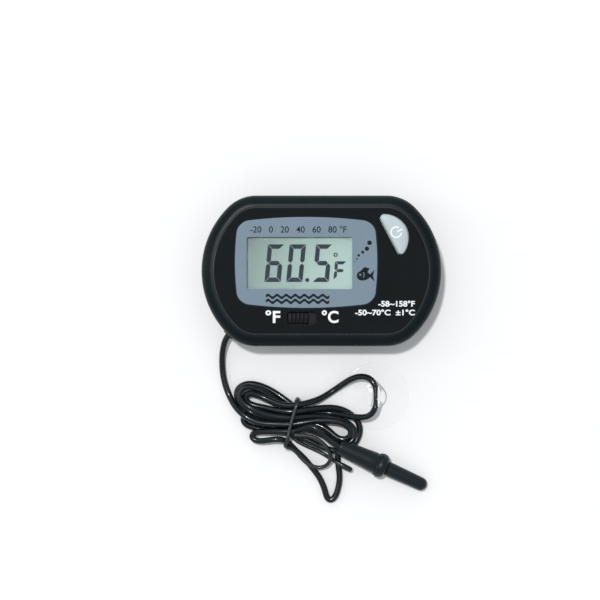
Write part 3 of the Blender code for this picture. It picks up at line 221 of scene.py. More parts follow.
def smooth_line(points, step):
    """Points a step apart on a smooth curve through the given ones, which may be unevenly spaced."""
    given = [np.array(point, float) for point in points]
    ends = [2 * given[0] - given[1], *given, 2 * given[-1] - given[-2]]
    fine = []
    for a, b, c, d in zip(ends, ends[1:], ends[2:], ends[3:]):
        t1 = np.linalg.norm(b - a) ** 0.5
        t2 = t1 + np.linalg.norm(c - b) ** 0.5
        t3 = t2 + np.linalg.norm(d - c) ** 0.5
        for t in np.linspace(t1, t2, 12, endpoint=False):
            ab = (t1 - t) / t1 * a + t / t1 * b
            bc = (t2 - t) / (t2 - t1) * b + (t - t1) / (t2 - t1) * c
            cd = (t3 - t) / (t3 - t2) * c + (t - t2) / (t3 - t2) * d
            abc = (t2 - t) / t2 * ab + t / t2 * bc
            bcd = (t3 - t) / (t3 - t1) * bc + (t - t1) / (t3 - t1) * cd
            fine.append((t2 - t) / (t2 - t1) * abc + (t - t1) / (t2 - t1) * bcd)
    fine = np.array([*fine, given[-1]])
    along = np.concatenate([[0.0], np.cumsum(np.linalg.norm(np.diff(fine, axis=0), axis=1))])
    places = np.linspace(0, along[-1], max(2, round(along[-1] / step) + 1))
    return np.stack([np.interp(places, along, fine[:, k]) for k in range(3)], axis=1)


def settle(route, tie):
    """Lets the lead's strands push each other, the tie and the probe apart, and rest on the table."""
    start = smooth_line(route, LEAD_STEP)
    line = start.copy()
    count = len(line)
    nub = np.array([*CUP_CENTRE, NUB_HOLE_HEIGHT])
    held = np.linalg.norm(line - nub, axis=1) < 4.2 * MM
    held[: int(9 * MM / LEAD_STEP)] = True
    held[-int(7 * MM / LEAD_STEP):] = True
    free = np.convolve(np.pad(~held, 3, mode="edge").astype(float), np.ones(7) / 7, "valid") * ~held
    first, second = np.triu_indices(count, int(SAME_BEND / LEAD_STEP))
    apart = LEAD_DIAMETER * 1.015
    from_tie = (LEAD_DIAMETER + TIE_DIAMETER) / 2 + 0.03 * MM
    rear, axis = np.array(PROBE_REAR), np.array(PROBE_LINE)
    for _ in range(SETTLE_TURNS):
        move = np.zeros_like(line)
        hits = np.zeros(count)
        gap = line[first] - line[second]
        distance = np.linalg.norm(gap, axis=1)
        close = distance < apart
        way = gap[close] * (1, 1, 1.6) + (0, 0, 1e-9)
        way /= np.linalg.norm(way, axis=1)[:, None]
        push = (apart - distance[close])[:, None] * way / 2
        np.add.at(move, first[close], push)
        np.add.at(move, second[close], -push)
        np.add.at(hits, first[close], 1)
        np.add.at(hits, second[close], 1)
        move /= np.maximum(hits, 1)[:, None]
        gap = line[:, None] - tie[None]
        distance = np.linalg.norm(gap, axis=2)
        nearest = distance.argmin(axis=1)
        reach = distance[np.arange(count), nearest]
        close = reach < from_tie
        way = gap[close, nearest[close]] / reach[close][:, None]
        move[close] += way * (from_tie - reach[close])[:, None]
        along = (line - rear) @ axis
        out = line - rear - along[:, None] * axis
        reach = np.linalg.norm(out, axis=1)
        barrel = (2.3 + np.clip(along / (12.6 * MM), 0, 1)) * MM + LEAD_DIAMETER / 2 + 0.03 * MM
        close = (along > -0.5 * MM) & (along < 12 * MM) & (reach < barrel) & ~held
        move[close] += out[close] / reach[close][:, None] * (barrel - reach)[close][:, None]
        shift = line + move * free[:, None] - start
        for _ in range(3):
            eased = shift.copy()
            eased[1:-1] = (shift[:-2] + 2 * shift[1:-1] + shift[2:]) / 4
            shift += (eased - shift) * free[:, None]
        line = start + shift * 0.997
        line[:, 2] = np.maximum(line[:, 2], LEAD_DIAMETER / 2)
    for _ in range(4):
        line[1:-1] = (line[:-2] + 2 * line[1:-1] + line[2:]) / 4
    return line


def round_line(name, points, diameter, sides, end_share=()):
    """A curve object: one open line, round in section, whose last points may differ in width."""
    curve = bpy.data.curves.new(name, "CURVE")
    curve.dimensions = "3D"
    curve.bevel_depth = diameter / 2
    curve.bevel_resolution = sides
    curve.use_fill_caps = True
    spline = curve.splines.new("POLY")
    spline.points.add(len(points) - 1)
    spline.points.foreach_set("co", np.column_stack([points, np.ones(len(points))]).ravel())
    for back, share in enumerate(reversed(end_share), 1):
        spline.points[-back].radius = share
    spline.use_smooth = True
    made = bpy.data.objects.new(name, curve)
    bpy.context.scene.collection.objects.link(made)
    return made


def moulded(name, colour, roughness, grain=0.35, depth=0.12, specular=0.5, cloud=0.1, coat=0.0):
    """A moulded finish: fine grain, of a size in mm, over slow changes of colour and gloss."""
    material = bpy.data.materials.new(name)
    material.use_nodes = True
    nodes, links = material.node_tree.nodes, material.node_tree.links
    shader = nodes["Principled BSDF"]
    shader.inputs["Specular IOR Level"].default_value = specular
    shader.inputs["Coat Weight"].default_value = coat
    shader.inputs["Coat Roughness"].default_value = 0.08
    place = nodes.new("ShaderNodeTexCoord").outputs["Object"]
    clouds = nodes.new("ShaderNodeTexNoise")
    clouds.inputs["Scale"].default_value = 140.0
    clouds.inputs["Detail"].default_value = 3.0
    links.new(place, clouds.inputs["Vector"])
    shade = nodes.new("ShaderNodeValToRGB")
    shade.color_ramp.elements[0].position = 0.3
    shade.color_ramp.elements[1].position = 0.7
    shade.color_ramp.elements[0].color = (*[c * (1 - cloud) for c in colour], 1)
    shade.color_ramp.elements[1].color = (*[min(1, c * (1 + cloud)) for c in colour], 1)
    links.new(clouds.outputs["Fac"], shade.inputs["Fac"])
    links.new(shade.outputs["Color"], shader.inputs["Base Color"])
    speckle = nodes.new("ShaderNodeTexNoise")
    speckle.inputs["Scale"].default_value = 1 / (grain * MM)
    speckle.inputs["Detail"].default_value = 2.0
    links.new(place, speckle.inputs["Vector"])
    gloss = nodes.new("ShaderNodeMapRange")
    gloss.inputs["To Min"].default_value = roughness - 0.06
    gloss.inputs["To Max"].default_value = roughness + 0.06
    links.new(speckle.outputs["Fac"], gloss.inputs["Value"])
    links.new(gloss.outputs["Result"], shader.inputs["Roughness"])
    bump = nodes.new("ShaderNodeBump")
    bump.inputs["Strength"].default_value = depth
    bump.inputs["Distance"].default_value = 0.05 * MM
    links.new(speckle.outputs["Fac"], bump.inputs["Height"])
    links.new(bump.outputs["Normal"], shader.inputs["Normal"])
    return material


def settle_in(piece, material, body, slot, *nodes):
    """Gives a piece its finish, the body that it rides on and the nodes it shows. Its record slot is
    not used.
    """
    piece.data.materials.clear()
    piece.data.materials.append(material)
    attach(piece, body)
    if nodes:
        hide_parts(*nodes)
    return piece


lead_black = moulded(
    "lead_black", (0.0035, 0.0075, 0.01), 0.24, grain=0.9, depth=0.05, specular=0.25, coat=0.22
)
tie_line = smooth_line([Vector(p) * MM for p in TIE_ROUTE], 0.4 * MM)
lead_line = settle([Vector(p) * MM for p in LEAD_ROUTE], tie_line)
lead = round_line("lead", smooth_line(lead_line, LEAD_FINE_STEP), LEAD_DIAMETER, 5)
settle_in(
    lead, lead_black, "housing", "lead_pvc",
    "lead_run", "lead_cup_run", "lead_v_run", "lead_probe_run", "lead_hank",
)


# ---- Wire tie --------------------------------------------------------------------------------
# A thin black tie of soft wire in a plastic coat, wound once round the bundle. Both its ends
# are twisted aside and stand free.

tie_black = moulded("tie_black", (0.006, 0.011, 0.014), 0.34, grain=0.5, depth=0.1, coat=0.1)
tail_share = (1.1, 1.25, 1.35, 1.4, 1.4, 1.4, 1.4, 1.4, 1.4, 1.3, 0.9)
tie = round_line("wire_tie", tie_line, TIE_DIAMETER, 5, tail_share)
settle_in(tie, tie_black, "housing", "tie_wire", "twist_tie")


# ---- Suction cup -----------------------------------------------------------------------------
# A cup of clear soft plastic, moulded in one piece with a round nub. The lead runs through a
# hole across the nub, so the cup can swing on it.

CUP_RADIUS = 10.35
CUP_NUB_RADIUS = 3.4
CUP_TOP = 9.2
CUP_HOLE_RADIUS = 1.35


def shade(mesh, angle=32, wide=4.0):
    """Smooth shading. Edges sharper than an angle and those of wide flat faces, in mm2, stay crisp."""
    mesh.shade_smooth()
    mesh.set_sharp_from_angle(angle=math.radians(angle))
    flats = [face for face in mesh.polygons if face.area > wide * MM * MM]
    round_flats = {key for face in flats for key in face.edge_keys}
    for edge in mesh.edges:
        edge.use_edge_sharp = edge.use_edge_sharp or edge.key in round_flats


def finished(bm, name, angle=32, wide=4.0):
    """Turns a bmesh into a linked object with outward faces and smooth shading."""
    bmesh.ops.remove_doubles(bm, verts=bm.verts, dist=0.0005 * MM)
    bmesh.ops.recalc_face_normals(bm, faces=bm.faces)
    mesh = bpy.data.meshes.new(name)
    bm.to_mesh(mesh)
    bm.free()
    shade(mesh, angle, wide)
    made = bpy.data.objects.new(name, mesh)
    bpy.context.scene.collection.objects.link(made)
    return made


def turned(name, profile, place=(0, 0, 0), line=(0, 0, 1), steps=96, closed=False):
    """Spins a profile of radius and height in mm round a line through a place."""
    bm = bmesh.new()
    ring = [bm.verts.new((radius * MM, 0, height * MM)) for radius, height in profile]
    edges = [bm.edges.new(pair) for pair in zip(ring, ring[1:])]
    if closed:
        edges.append(bm.edges.new((ring[-1], ring[0])))
    bmesh.ops.spin(
        bm, geom=ring + edges, cent=(0, 0, 0), axis=(0, 0, 1), angle=2 * math.pi, steps=steps,
        use_merge=True,
    )
    bmesh.ops.remove_doubles(bm, verts=bm.verts, dist=0.0005 * MM)
    loose = [line for line in bm.edges if not line.link_faces]
    bmesh.ops.delete(bm, geom=loose, context="EDGES")
    turn = Vector(line).to_track_quat("Z", "Y").to_matrix().to_4x4()
    bmesh.ops.transform(bm, verts=bm.verts, matrix=Matrix.Translation(Vector(place)) @ turn)
    return finished(bm, name)


def carved(piece, *cutters):
    """Cuts shapes out of a piece for good, and removes the shapes."""
    for cutter in cutters:
        cut = piece.modifiers.new("cut", "BOOLEAN")
        cut.operation = "DIFFERENCE"
        cut.solver = "EXACT"
        cut.object = cutter
    bpy.context.view_layer.update()
    mesh = bpy.data.meshes.new_from_object(piece.evaluated_get(bpy.context.evaluated_depsgraph_get()))
    piece.modifiers.clear()
    piece.data = mesh
    shade(mesh)
    for cutter in cutters:
        bpy.data.objects.remove(cutter)
    return piece


def clear_plastic(name, tint, roughness, index):
    """Clear plastic that bends what is seen through it and lets lamp light pass to what is behind."""
    material = bpy.data.materials.new(name)
    material.use_nodes = True
    nodes, links = material.node_tree.nodes, material.node_tree.links
    shader = nodes["Principled BSDF"]
    shader.inputs["Base Color"].default_value = (*tint, 1)
    shader.inputs["Transmission Weight"].default_value = 1.0
    shader.inputs["IOR"].default_value = index
    streaks = nodes.new("ShaderNodeTexNoise")
    streaks.inputs["Scale"].default_value = 500.0
    links.new(nodes.new("ShaderNodeTexCoord").outputs["Object"], streaks.inputs["Vector"])
    gloss = nodes.new("ShaderNodeMapRange")
    gloss.inputs["To Min"].default_value = roughness * 0.5
    gloss.inputs["To Max"].default_value = roughness * 1.5
    links.new(streaks.outputs["Fac"], gloss.inputs["Value"])
    links.new(gloss.outputs["Result"], shader.inputs["Roughness"])
    passing = nodes.new("ShaderNodeBsdfTransparent")
    passing.inputs["Color"].default_value = (*tint, 1)
    mix = nodes.new("ShaderNodeMixShader")
    path = nodes.new("ShaderNodeLightPath")
    either = nodes.new("ShaderNodeMath")
    either.operation = "MAXIMUM"
    links.new(path.outputs["Is Shadow Ray"], either.inputs[0])
    links.new(path.outputs["Is Diffuse Ray"], either.inputs[1])
    links.new(either.outputs["Value"], mix.inputs["Fac"])
    links.new(shader.outputs["BSDF"], mix.inputs[1])
    links.new(passing.outputs["BSDF"], mix.inputs[2])
    links.new(mix.outputs["Shader"], nodes["Material Output"].inputs["Surface"])
    return material


cup_profile = [(0, CUP_TOP - 0.25), (1.3, CUP_TOP - 0.2), (1.75, CUP_TOP), (2.5, CUP_TOP)]
cup_profile += [(3.05, CUP_TOP - 0.2), (CUP_NUB_RADIUS, CUP_TOP - 0.7), (CUP_NUB_RADIUS, 5.1)]
cup_profile += [(3.5, 4.65), (3.9, 4.2)]
cup_profile += [(3.9 + 6.45 * k / 14, 0.35 + 3.85 * (1 - k / 14) ** 1.15) for k in range(1, 14)]
cup_profile += [(CUP_RADIUS, 0.33), (CUP_RADIUS, 0.12), (CUP_RADIUS - 0.12, 0.0), (9.65, 0.0)]
cup_profile += [(9.65 * (1 - k / 12), 3.1 * (1 - (1 - k / 12) ** 2)) for k in range(1, 13)]
cup = turned("clear_suction_cup", cup_profile, place=(*CUP_CENTRE, 0))
hole_profile = [(0, 5), (1.9, 5), (1.9, 3.6), (CUP_HOLE_RADIUS, 3.1), (CUP_HOLE_RADIUS, -3.1)]
hole_profile += [(1.9, -3.6), (1.9, -5), (0, -5)]
cup_hole = turned(
    "cup_hole", hole_profile, place=(*CUP_CENTRE, NUB_HOLE_HEIGHT), line=(0, 1, 0), steps=48
)
carved(cup, cup_hole)
clear_pvc = clear_plastic("clear_soft_plastic", (0.998, 0.999, 1.0), 0.05, 1.25)
settle_in(cup, clear_pvc, "suction_cup", "clear_pvc", "suction_cup")


# ---- Probe -----------------------------------------------------------------------------------
# A satin dark barrel that widens to a round collar, with a slim nose pressed into it. The
# sensor sits in the nose's tip, behind a hollow wall.

probe_satin = moulded(
    "probe_satin", (0.005, 0.0105, 0.014), 0.38, grain=0.5, depth=0.15, specular=0.26
)
barrel_profile = [(1.25, 0.35), (1.45, 0.02), (2.0, 0.0), (2.22, 0.06), (2.32, 0.3), (2.36, 0.9)]
barrel_profile += [(2.36 + 0.84 * k / 6, 0.9 + 11.2 * k / 6) for k in range(1, 7)]
barrel_profile += [(3.16, 12.35), (3.05, 12.6), (3.2, 12.85)]
barrel_profile += [
    (2.9 + 0.9 * math.cos(a), 14.4 + 1.6 * math.sin(a)) for a in np.linspace(-1.25, 1.25, 13)
]
barrel_profile += [(2.75, 16.1), (2.1, 16.1), (2.1, 10.8), (1.25, 10.8)]
barrel = turned("barrel", barrel_profile, PROBE_REAR, PROBE_LINE, closed=True)
settle_in(barrel, probe_satin, "housing", "probe_plastic", "probe_barrel")

probe_length = (PROBE_TIP - PROBE_REAR).length / MM
nose_profile = [(1.2, 11.1), (1.8, 11.1), (1.8, 16.35), (2.1, 16.4), (2.25, 16.6), (2.25, 17.4)]
nose_profile += [(2.25 - 0.2 * k / 5, 17.4 + (probe_length - 19.4) * k / 5) for k in range(1, 6)]
nose_profile += [
    (2.05 * math.cos(a), probe_length - 2.0 + 2.0 * math.sin(a))
    for a in np.linspace(0.15, math.pi / 2, 12)
]
nose_profile += [(0, probe_length - 2.0), (1.2, probe_length - 2.6), (1.2, 11.1)]
nose = turned("nose", nose_profile, PROBE_REAR, PROBE_LINE)
settle_in(nose, probe_satin, "housing", "probe_plastic", "probe_nose")


# ---- Front cover -----------------------------------------------------------------------------
# The front half of a two-part moulded housing. A rounded rim runs round a flat panel that
# stands a little higher, with a pocket for the label and openings for the button and switch.

HALF_LENGTH = 36.5
HALF_HEIGHT = 22.95
CORNER_RADIUS = 12.1
END_RADIUS = HALF_HEIGHT + 4.35
SEAM = 8.3
PANEL = 17.0
SHELL = 1.6
RIM_WIDTH = 3.4
RIM_LOW = 13.1
RIM_HIGH = 16.3
LABEL_CENTRE = (-4.67, 2.54)
LABEL_SIZE = (43.2, 27.6)
LABEL_CORNER = 3.4
LABEL_BOW = (0.95, 1.45)
WINDOW_CENTRE = (-6.68, 2.34)
WINDOW_SIZE = (32.0, 15.8)
SLOT_CENTRE = (-6.06, -14.4)
SLOT_SIZE = (8.8, 3.9)
SLOT_CORNER = 1.2
WINDOW_CORNER = 0.6
LENS_ROOM = 1.3  # how far the lens's opening reaches past the window
LABEL_GAP = 0.2
BUTTON_GAP = 0.25
POCKET_FLOOR = 16.1
THROUGH = 14.9  # a cut down to here goes right through the panel
BUTTON_RADIUS = 7.45
BUTTON_CHORD = 1.8
BUTTON_CORNER = 1.15
BUTTON_TURN = math.radians(27.7)

end_x = HALF_LENGTH - END_RADIUS
corner_y = HALF_HEIGHT - CORNER_RADIUS
corner_x = end_x + math.sqrt((END_RADIUS - CORNER_RADIUS) ** 2 - corner_y**2)
button_centre = Vector((corner_x - 0.9, corner_y - 1.1))


def arc_from(bm, start, centre, angle, steps):
    """Spins a corner of an outline round a centre, in mm, and gives back the corner it ends at."""
    place = (centre[0] * MM, centre[1] * MM, start.co.z)
    made = bmesh.ops.spin(bm, geom=[start], cent=place, axis=(0, 0, 1), angle=angle, steps=steps)
    return next(item for item in made["geom_last"] if isinstance(item, bmesh.types.BMVert))


def filled(bm):
    """Closes an outline's loose ends, joins them to a loop and fills it with one face."""
    bmesh.ops.remove_doubles(bm, verts=bm.verts, dist=0.0005 * MM)
    face = bmesh.ops.contextual_create(bm, geom=bm.edges[:])["faces"][0]
    face.normal_update()
    if face.normal.z < 0:
        face.normal_flip()
    return face


def housing_face(bm, z):
    """The housing's outline: flat long edges, round corners and bowed ends."""
    turn = math.atan2(corner_y, corner_x - end_x)
    first = None
    last = None
    for side in (1, -1):
        start = bm.verts.new((side * corner_x * MM, side * HALF_HEIGHT * MM, z * MM))
        if last:
            bm.edges.new((last, start))
        first = first or start
        centre = (side * corner_x, side * corner_y)
        at = arc_from(bm, start, centre, turn - math.pi / 2, 20)
        at = arc_from(bm, at, (side * end_x, 0), -2 * turn, 36)
        last = arc_from(bm, at, (side * corner_x, -side * corner_y), turn - math.pi / 2, 20)
    bm.edges.new((last, first))
    return filled(bm)


def rounded_face(bm, centre, size, radius, z, steps=8, fill=True):
    """A rectangle with round corners, all in mm."""
    reach = (size[0] / 2 - radius, size[1] / 2 - radius)
    ends = []
    for k, (sx, sy) in enumerate(((1, 1), (-1, 1), (-1, -1), (1, -1))):
        middle = (centre[0] + sx * reach[0], centre[1] + sy * reach[1])
        turn = k * math.pi / 2
        x, y = middle[0] + radius * math.cos(turn), middle[1] + radius * math.sin(turn)
        start = bm.verts.new((x * MM, y * MM, z * MM))
        ends.append((start, arc_from(bm, start, middle, math.pi / 2, steps)))
    straight = [bm.edges.new((a[1], b[0])) for a, b in zip(ends, ends[1:] + ends[:1])]
    return filled(bm) if fill else straight


def label_face(bm, margin, z):
    """The label's outline: a rounded rectangle whose sides bow out, larger all round by a margin."""
    size = (LABEL_SIZE[0] + 2 * margin, LABEL_SIZE[1] + 2 * margin)
    straight = rounded_face(bm, (0, 0), size, LABEL_CORNER + margin, z, fill=False)
    bmesh.ops.subdivide_edges(bm, edges=straight, cuts=15)
    for vert in bm.verts:
        u, v = vert.co.x / MM / size[0] * 2, vert.co.y / MM / size[1] * 2
        vert.co.x += (LABEL_CENTRE[0] - LABEL_BOW[0] * v * v * u) * MM
        vert.co.y += (LABEL_CENTRE[1] - LABEL_BOW[1] * u * u * v) * MM
    return filled(bm)


def button_face(bm, margin, z):
    """The button's outline: a segment of a circle with round corners, larger by a margin."""
    radius, corner = BUTTON_RADIUS + margin, BUTTON_CORNER + margin
    along = BUTTON_CHORD - margin + corner
    across = math.sqrt((radius - corner) ** 2 - along**2)
    turn = math.atan2(across, along)
    start = bm.verts.new((radius * math.cos(turn) * MM, -radius * math.sin(turn) * MM, z * MM))
    at = arc_from(bm, start, (0, 0), 2 * turn, 36)
    at = arc_from(bm, at, (along, across), math.pi - turn, 10)
    other = bm.verts.new((at.co.x, -at.co.y, z * MM))
    bm.edges.new((at, other))
    arc_from(bm, other, (along, -across), math.pi - turn, 10)
    face = filled(bm)
    turned_by = Matrix.Translation((button_centre.x * MM, button_centre.y * MM, 0))
    bmesh.ops.transform(bm, verts=bm.verts, matrix=turned_by @ Matrix.Rotation(BUTTON_TURN, 4, "Z"))
    return face


def carried_on(bm, face, steps):
    """Builds on a flat face: each step goes in from its edges and up, in mm, or straight up."""
    for inward, up in steps:
        if inward:
            bmesh.ops.inset_individual(bm, faces=[face], thickness=inward * MM, use_even_offset=True)
        else:
            made = bmesh.ops.extrude_face_region(bm, geom=[face])["geom"]
            if any(len(edge.link_faces) > 2 for edge in face.edges):
                bmesh.ops.delete(bm, geom=[face], context="FACES_ONLY")
            face = next(item for item in made if isinstance(item, bmesh.types.BMFace))
        bmesh.ops.translate(bm, verts=face.verts, vec=(0, 0, up * MM))
    return face


def opening(name, make_face, low, flare=0.18):
    """A cutter from above the panel down to a height, a little wider where it meets the panel."""
    bm = bmesh.new()
    face = make_face(bm, flare, PANEL + 1)
    face.normal_flip()
    flared = [(0, -1), (0.3 * flare, -0.3 * flare), (0.7 * flare, -flare)]
    carried_on(bm, face, [*flared, (0, low - PANEL + 1.3 * flare)])
    return finished(bm, name)


housing_black = moulded(
    "housing_black", (0.003, 0.0075, 0.0095), 0.36, grain=0.45, depth=0.25, specular=0.13, cloud=0.12
)
# The step from the rim up to the panel: glossier than the rim, and its colour a little paler as a
# painted highlight.
ridge_gloss_painted_highlight = moulded(
    "ridge_gloss_painted_highlight", (0.006, 0.011, 0.013), 0.26, grain=0.5, depth=0.3, specular=0.6, coat=0.4
)
panel_black = moulded(
    "panel_black", (0.0035, 0.0056, 0.0066), 0.6, grain=0.3, depth=0.3, specular=0.08, cloud=0.15
)
cover_bm = bmesh.new()
cover_face = housing_face(cover_bm, SEAM)
rim_turns = np.linspace(0, math.pi / 2, 15)
rim_steps = [
    (RIM_WIDTH * (math.cos(a) - math.cos(b)), (RIM_HIGH - RIM_LOW) * (math.sin(b) - math.sin(a)))
    for a, b in zip(rim_turns, rim_turns[1:])
]
panel_steps = [(0.06, 0.1), (0.05, 0.25), (0.07, 0.17), (0.12, 0.11), (0.2, 0.07)]
carried_on(cover_bm, cover_face, [(0, RIM_LOW - SEAM), *rim_steps, *panel_steps])
inside = [
    face for face in cover_bm.faces if all(abs(v.co.z - SEAM * MM) < 0.001 * MM for v in face.verts)
]
bmesh.ops.delete(cover_bm, geom=inside, context="FACES_ONLY")
bmesh.ops.recalc_face_normals(cover_bm, faces=cover_bm.faces)
front = finished(cover_bm, "front_shell", 20)
wall = front.modifiers.new("wall", "SOLIDIFY")
wall.thickness = SHELL * MM
wall.offset = -1
wall.use_even_offset = True
carved(front)


def pocket_opening(bm, margin, z):
    return label_face(bm, LABEL_GAP + margin, z)


def button_opening(bm, margin, z):
    return button_face(bm, BUTTON_GAP + margin, z)


def slot_opening(bm, margin, z):
    size = (SLOT_SIZE[0] + 2 * margin, SLOT_SIZE[1] + 2 * margin)
    return rounded_face(bm, SLOT_CENTRE, size, SLOT_CORNER + margin, z)


def lens_opening(bm, margin, z):
    reach = 2 * (LENS_ROOM + margin)
    size = (WINDOW_SIZE[0] + reach, WINDOW_SIZE[1] + reach)
    return rounded_face(bm, WINDOW_CENTRE, size, WINDOW_CORNER + margin, z)


SLOT_FLARE = 0.3
cutters = [
    opening("label_pocket", pocket_opening, POCKET_FLOOR),
    opening("button_hole", button_opening, THROUGH),
    opening("switch_slot", slot_opening, THROUGH, SLOT_FLARE),
    opening("lens_hole", lens_opening, THROUGH),
]
carved(front, *cutters)
shade(front.data, 20)
settle_in(front, housing_black, "housing", "black_housing", "front_cover")
front.data.materials.append(panel_black)
front.data.materials.append(ridge_gloss_painted_highlight)
for face in front.data.polygons:
    if face.center.z > (PANEL - 0.03) * MM:
        face.material_index = 1
    # The step up to the panel gets the glossier finish with a painted highlight.
    elif face.center.z > (RIM_HIGH + 0.03) * MM and face.normal.z > 0.3:
        face.material_index = 2


# ---- Power button ----------------------------------------------------------------------------
# A light grey moulded cap that stands a little proud of the panel. A flange under the panel keeps
# it in, and a stem presses the dome on the board. A white power mark is printed on it.

BUTTON_FLANGE = 0.45
FLANGE_BOTTOM = 14.3
CAP_TOP = 17.55
STEM_RADIUS = 1.5
STEM_BOTTOM = 12.8
STEM_LENGTH = 1.8

button_grey = moulded(
    "button_grey", (0.43, 0.5, 0.52), 0.42, grain=0.6, depth=0.15, specular=0.4, cloud=0.05
)
button_bm = bmesh.new()
flange = [(0, 0.8), (BUTTON_FLANGE, 0), (0, 1.85)]
shoulder = [(0.04, 0.16), (0.06, 0.13), (0.1, 0.11), (0.15, 0.08)]
button_foot = button_face(button_bm, BUTTON_FLANGE, FLANGE_BOTTOM)
crown = carried_on(button_bm, button_foot, [*flange, *shoulder])
for shrink, rise in ((0.85, 0.06), (0.75, 0.04), (0.6, 0.02)):
    middle = crown.calc_center_median()
    bmesh.ops.inset_individual(button_bm, faces=[crown], thickness=0.02 * MM)
    bmesh.ops.scale(
        button_bm, verts=crown.verts, vec=(shrink, shrink, 1), space=Matrix.Translation(-middle)
    )
    bmesh.ops.translate(button_bm, verts=crown.verts, vec=(0, 0, rise * MM))
button = finished(button_bm, "power_cap", 50)
button_line = Vector((math.cos(BUTTON_TURN), math.sin(BUTTON_TURN)))
button_middle = button_centre + button_line * (BUTTON_CHORD + 0.42 * (BUTTON_RADIUS - BUTTON_CHORD))
stem_bm = bmesh.new()
bmesh.ops.create_cone(
    stem_bm, cap_ends=True, segments=32, radius1=STEM_RADIUS * MM, radius2=STEM_RADIUS * MM,
    depth=STEM_LENGTH * MM,
)
stem_place = (*(button_middle * MM), (STEM_BOTTOM + STEM_LENGTH / 2) * MM)
bmesh.ops.translate(stem_bm, verts=stem_bm.verts, vec=stem_place)
stem = finished(stem_bm, "stem")
joined = button.modifiers.new("stem", "BOOLEAN")
joined.operation = "UNION"
joined.object = stem
carved(button)
bpy.data.objects.remove(stem)
settle_in(button, button_grey, "power_button", "grey_button", "power_button")

print_white = moulded("print_white", (0.78, 0.82, 0.84), 0.5, grain=0.3, depth=0.04, cloud=0.02)
PRINT_HEIGHT = 0.02


def print_on(bm, name, surface, material, body, slot):
    """Gives flat faces a print's thickness on a surface and makes them a piece."""
    made = bmesh.ops.extrude_face_region(bm, geom=bm.faces[:])["geom"]
    tops = [item for item in made if isinstance(item, bmesh.types.BMVert)]
    bmesh.ops.translate(bm, verts=tops, vec=(0, 0, 2 * PRINT_HEIGHT * MM))
    bmesh.ops.translate(bm, verts=bm.verts, vec=(0, 0, (surface - PRINT_HEIGHT) * MM))
    return settle_in(finished(bm, name), material, body, slot)


mark_bm = bmesh.new()
mark_low = mark_bm.verts.new((0, 1.35 * MM, 0))
mark_high = mark_bm.verts.new((0, 1.8 * MM, 0))
bmesh.ops.rotate(mark_bm, verts=mark_bm.verts, cent=(0, 0, 0), matrix=Matrix.Rotation(0.6, 3, "Z"))
mark_edge = mark_bm.edges.new((mark_low, mark_high))
bmesh.ops.spin(
    mark_bm, geom=[mark_low, mark_high, mark_edge], cent=(0, 0, 0), axis=(0, 0, 1),
    angle=2 * math.pi - 1.2, steps=40,
)
bar = bmesh.ops.create_grid(mark_bm, x_segments=1, y_segments=4, size=0.5)["verts"]
bmesh.ops.scale(mark_bm, verts=bar, vec=(0.45 * MM, 1.75 * MM, 1))
bmesh.ops.translate(mark_bm, verts=bar, vec=(0, 1.25 * MM, 0))
mark_place = Matrix.Translation((*(button_middle * MM), 0))
mark_turn = Matrix.Rotation(BUTTON_TURN - math.pi / 2, 4, "Z")
bmesh.ops.transform(mark_bm, verts=mark_bm.verts, matrix=mark_place @ mark_turn)
print_on(mark_bm, "power_mark", CAP_TOP, print_white, "power_button", "grey_button")


# ---- Label plate -----------------------------------------------------------------------------
# A thin blue-grey printed plate stuck into the front's pocket, with the display's window cut in
# it. Its prints are a row of numbers, waves, a fish and its bubbles.

LABEL_LOW = 16.4
LABEL_HIGH = 16.8

label_blue = moulded(
    "label_blue", (0.17, 0.23, 0.285), 0.5, grain=0.25, depth=0.05, specular=0.18, cloud=0.025
)
label_ink = moulded("label_ink", (0.008, 0.011, 0.014), 0.6, grain=0.3, depth=0.04, specular=0.1)
label_bm = bmesh.new()
label_steps = [(0, LABEL_HIGH - LABEL_LOW - 0.06), (0.05, 0.06)]
carried_on(label_bm, label_face(label_bm, 0, LABEL_LOW), label_steps)
label = finished(label_bm, "label", 20)
window_bm = bmesh.new()
window_face = rounded_face(window_bm, WINDOW_CENTRE, WINDOW_SIZE, WINDOW_CORNER, LABEL_LOW - 0.4)
carried_on(window_bm, window_face, [(0, 2)])
carved(label, finished(window_bm, "window"))
settle_in(label, label_blue, "housing", "label_film", "label_plate")


def words(name, text, box, surface, material, bold=0.0, slot="label_film"):
    """A line of characters printed to fill a box of left, bottom, right and top, in mm."""
    curve = bpy.data.curves.new(name, "FONT")
    curve.body = text
    curve.offset = bold
    curve.resolution_u = 6
    letters = bpy.data.objects.new(name, curve)
    bpy.context.scene.collection.objects.link(letters)
    bpy.context.view_layer.update()
    shown = letters.evaluated_get(bpy.context.evaluated_depsgraph_get())
    flat = bpy.data.meshes.new_from_object(shown)
    bpy.data.objects.remove(letters)
    bm = bmesh.new()
    bm.from_mesh(flat)
    bmesh.ops.remove_doubles(bm, verts=bm.verts, dist=1e-5)
    low = [min(v.co[k] for v in bm.verts) for k in (0, 1)]
    high = [max(v.co[k] for v in bm.verts) for k in (0, 1)]
    size = [(box[k + 2] - box[k]) * MM / (high[k] - low[k]) for k in (0, 1)]
    bmesh.ops.translate(bm, verts=bm.verts, vec=(-low[0], -low[1], 0))
    bmesh.ops.scale(bm, verts=bm.verts, vec=(size[0], size[1], 0))
    bmesh.ops.translate(bm, verts=bm.verts, vec=(box[0] * MM, box[1] * MM, 0))
    return print_on(bm, name, surface, material, "housing", slot)


scale_box = (-21.6, 11.55, 7.6, 13.6)
words("scale_numbers", "-20   0   20   40   60   80 °F", scale_box, LABEL_HIGH, label_ink, 0.008)

WAVES_LEFT = -16.9
WAVES_LENGTH = 19.3
WAVES_TOP = -7.35
WAVES_APART = 1.5
WAVE_COUNT = 7
WAVE_REACH = 0.42
WAVE_STROKE = 0.85
WAVE_STEPS = 96

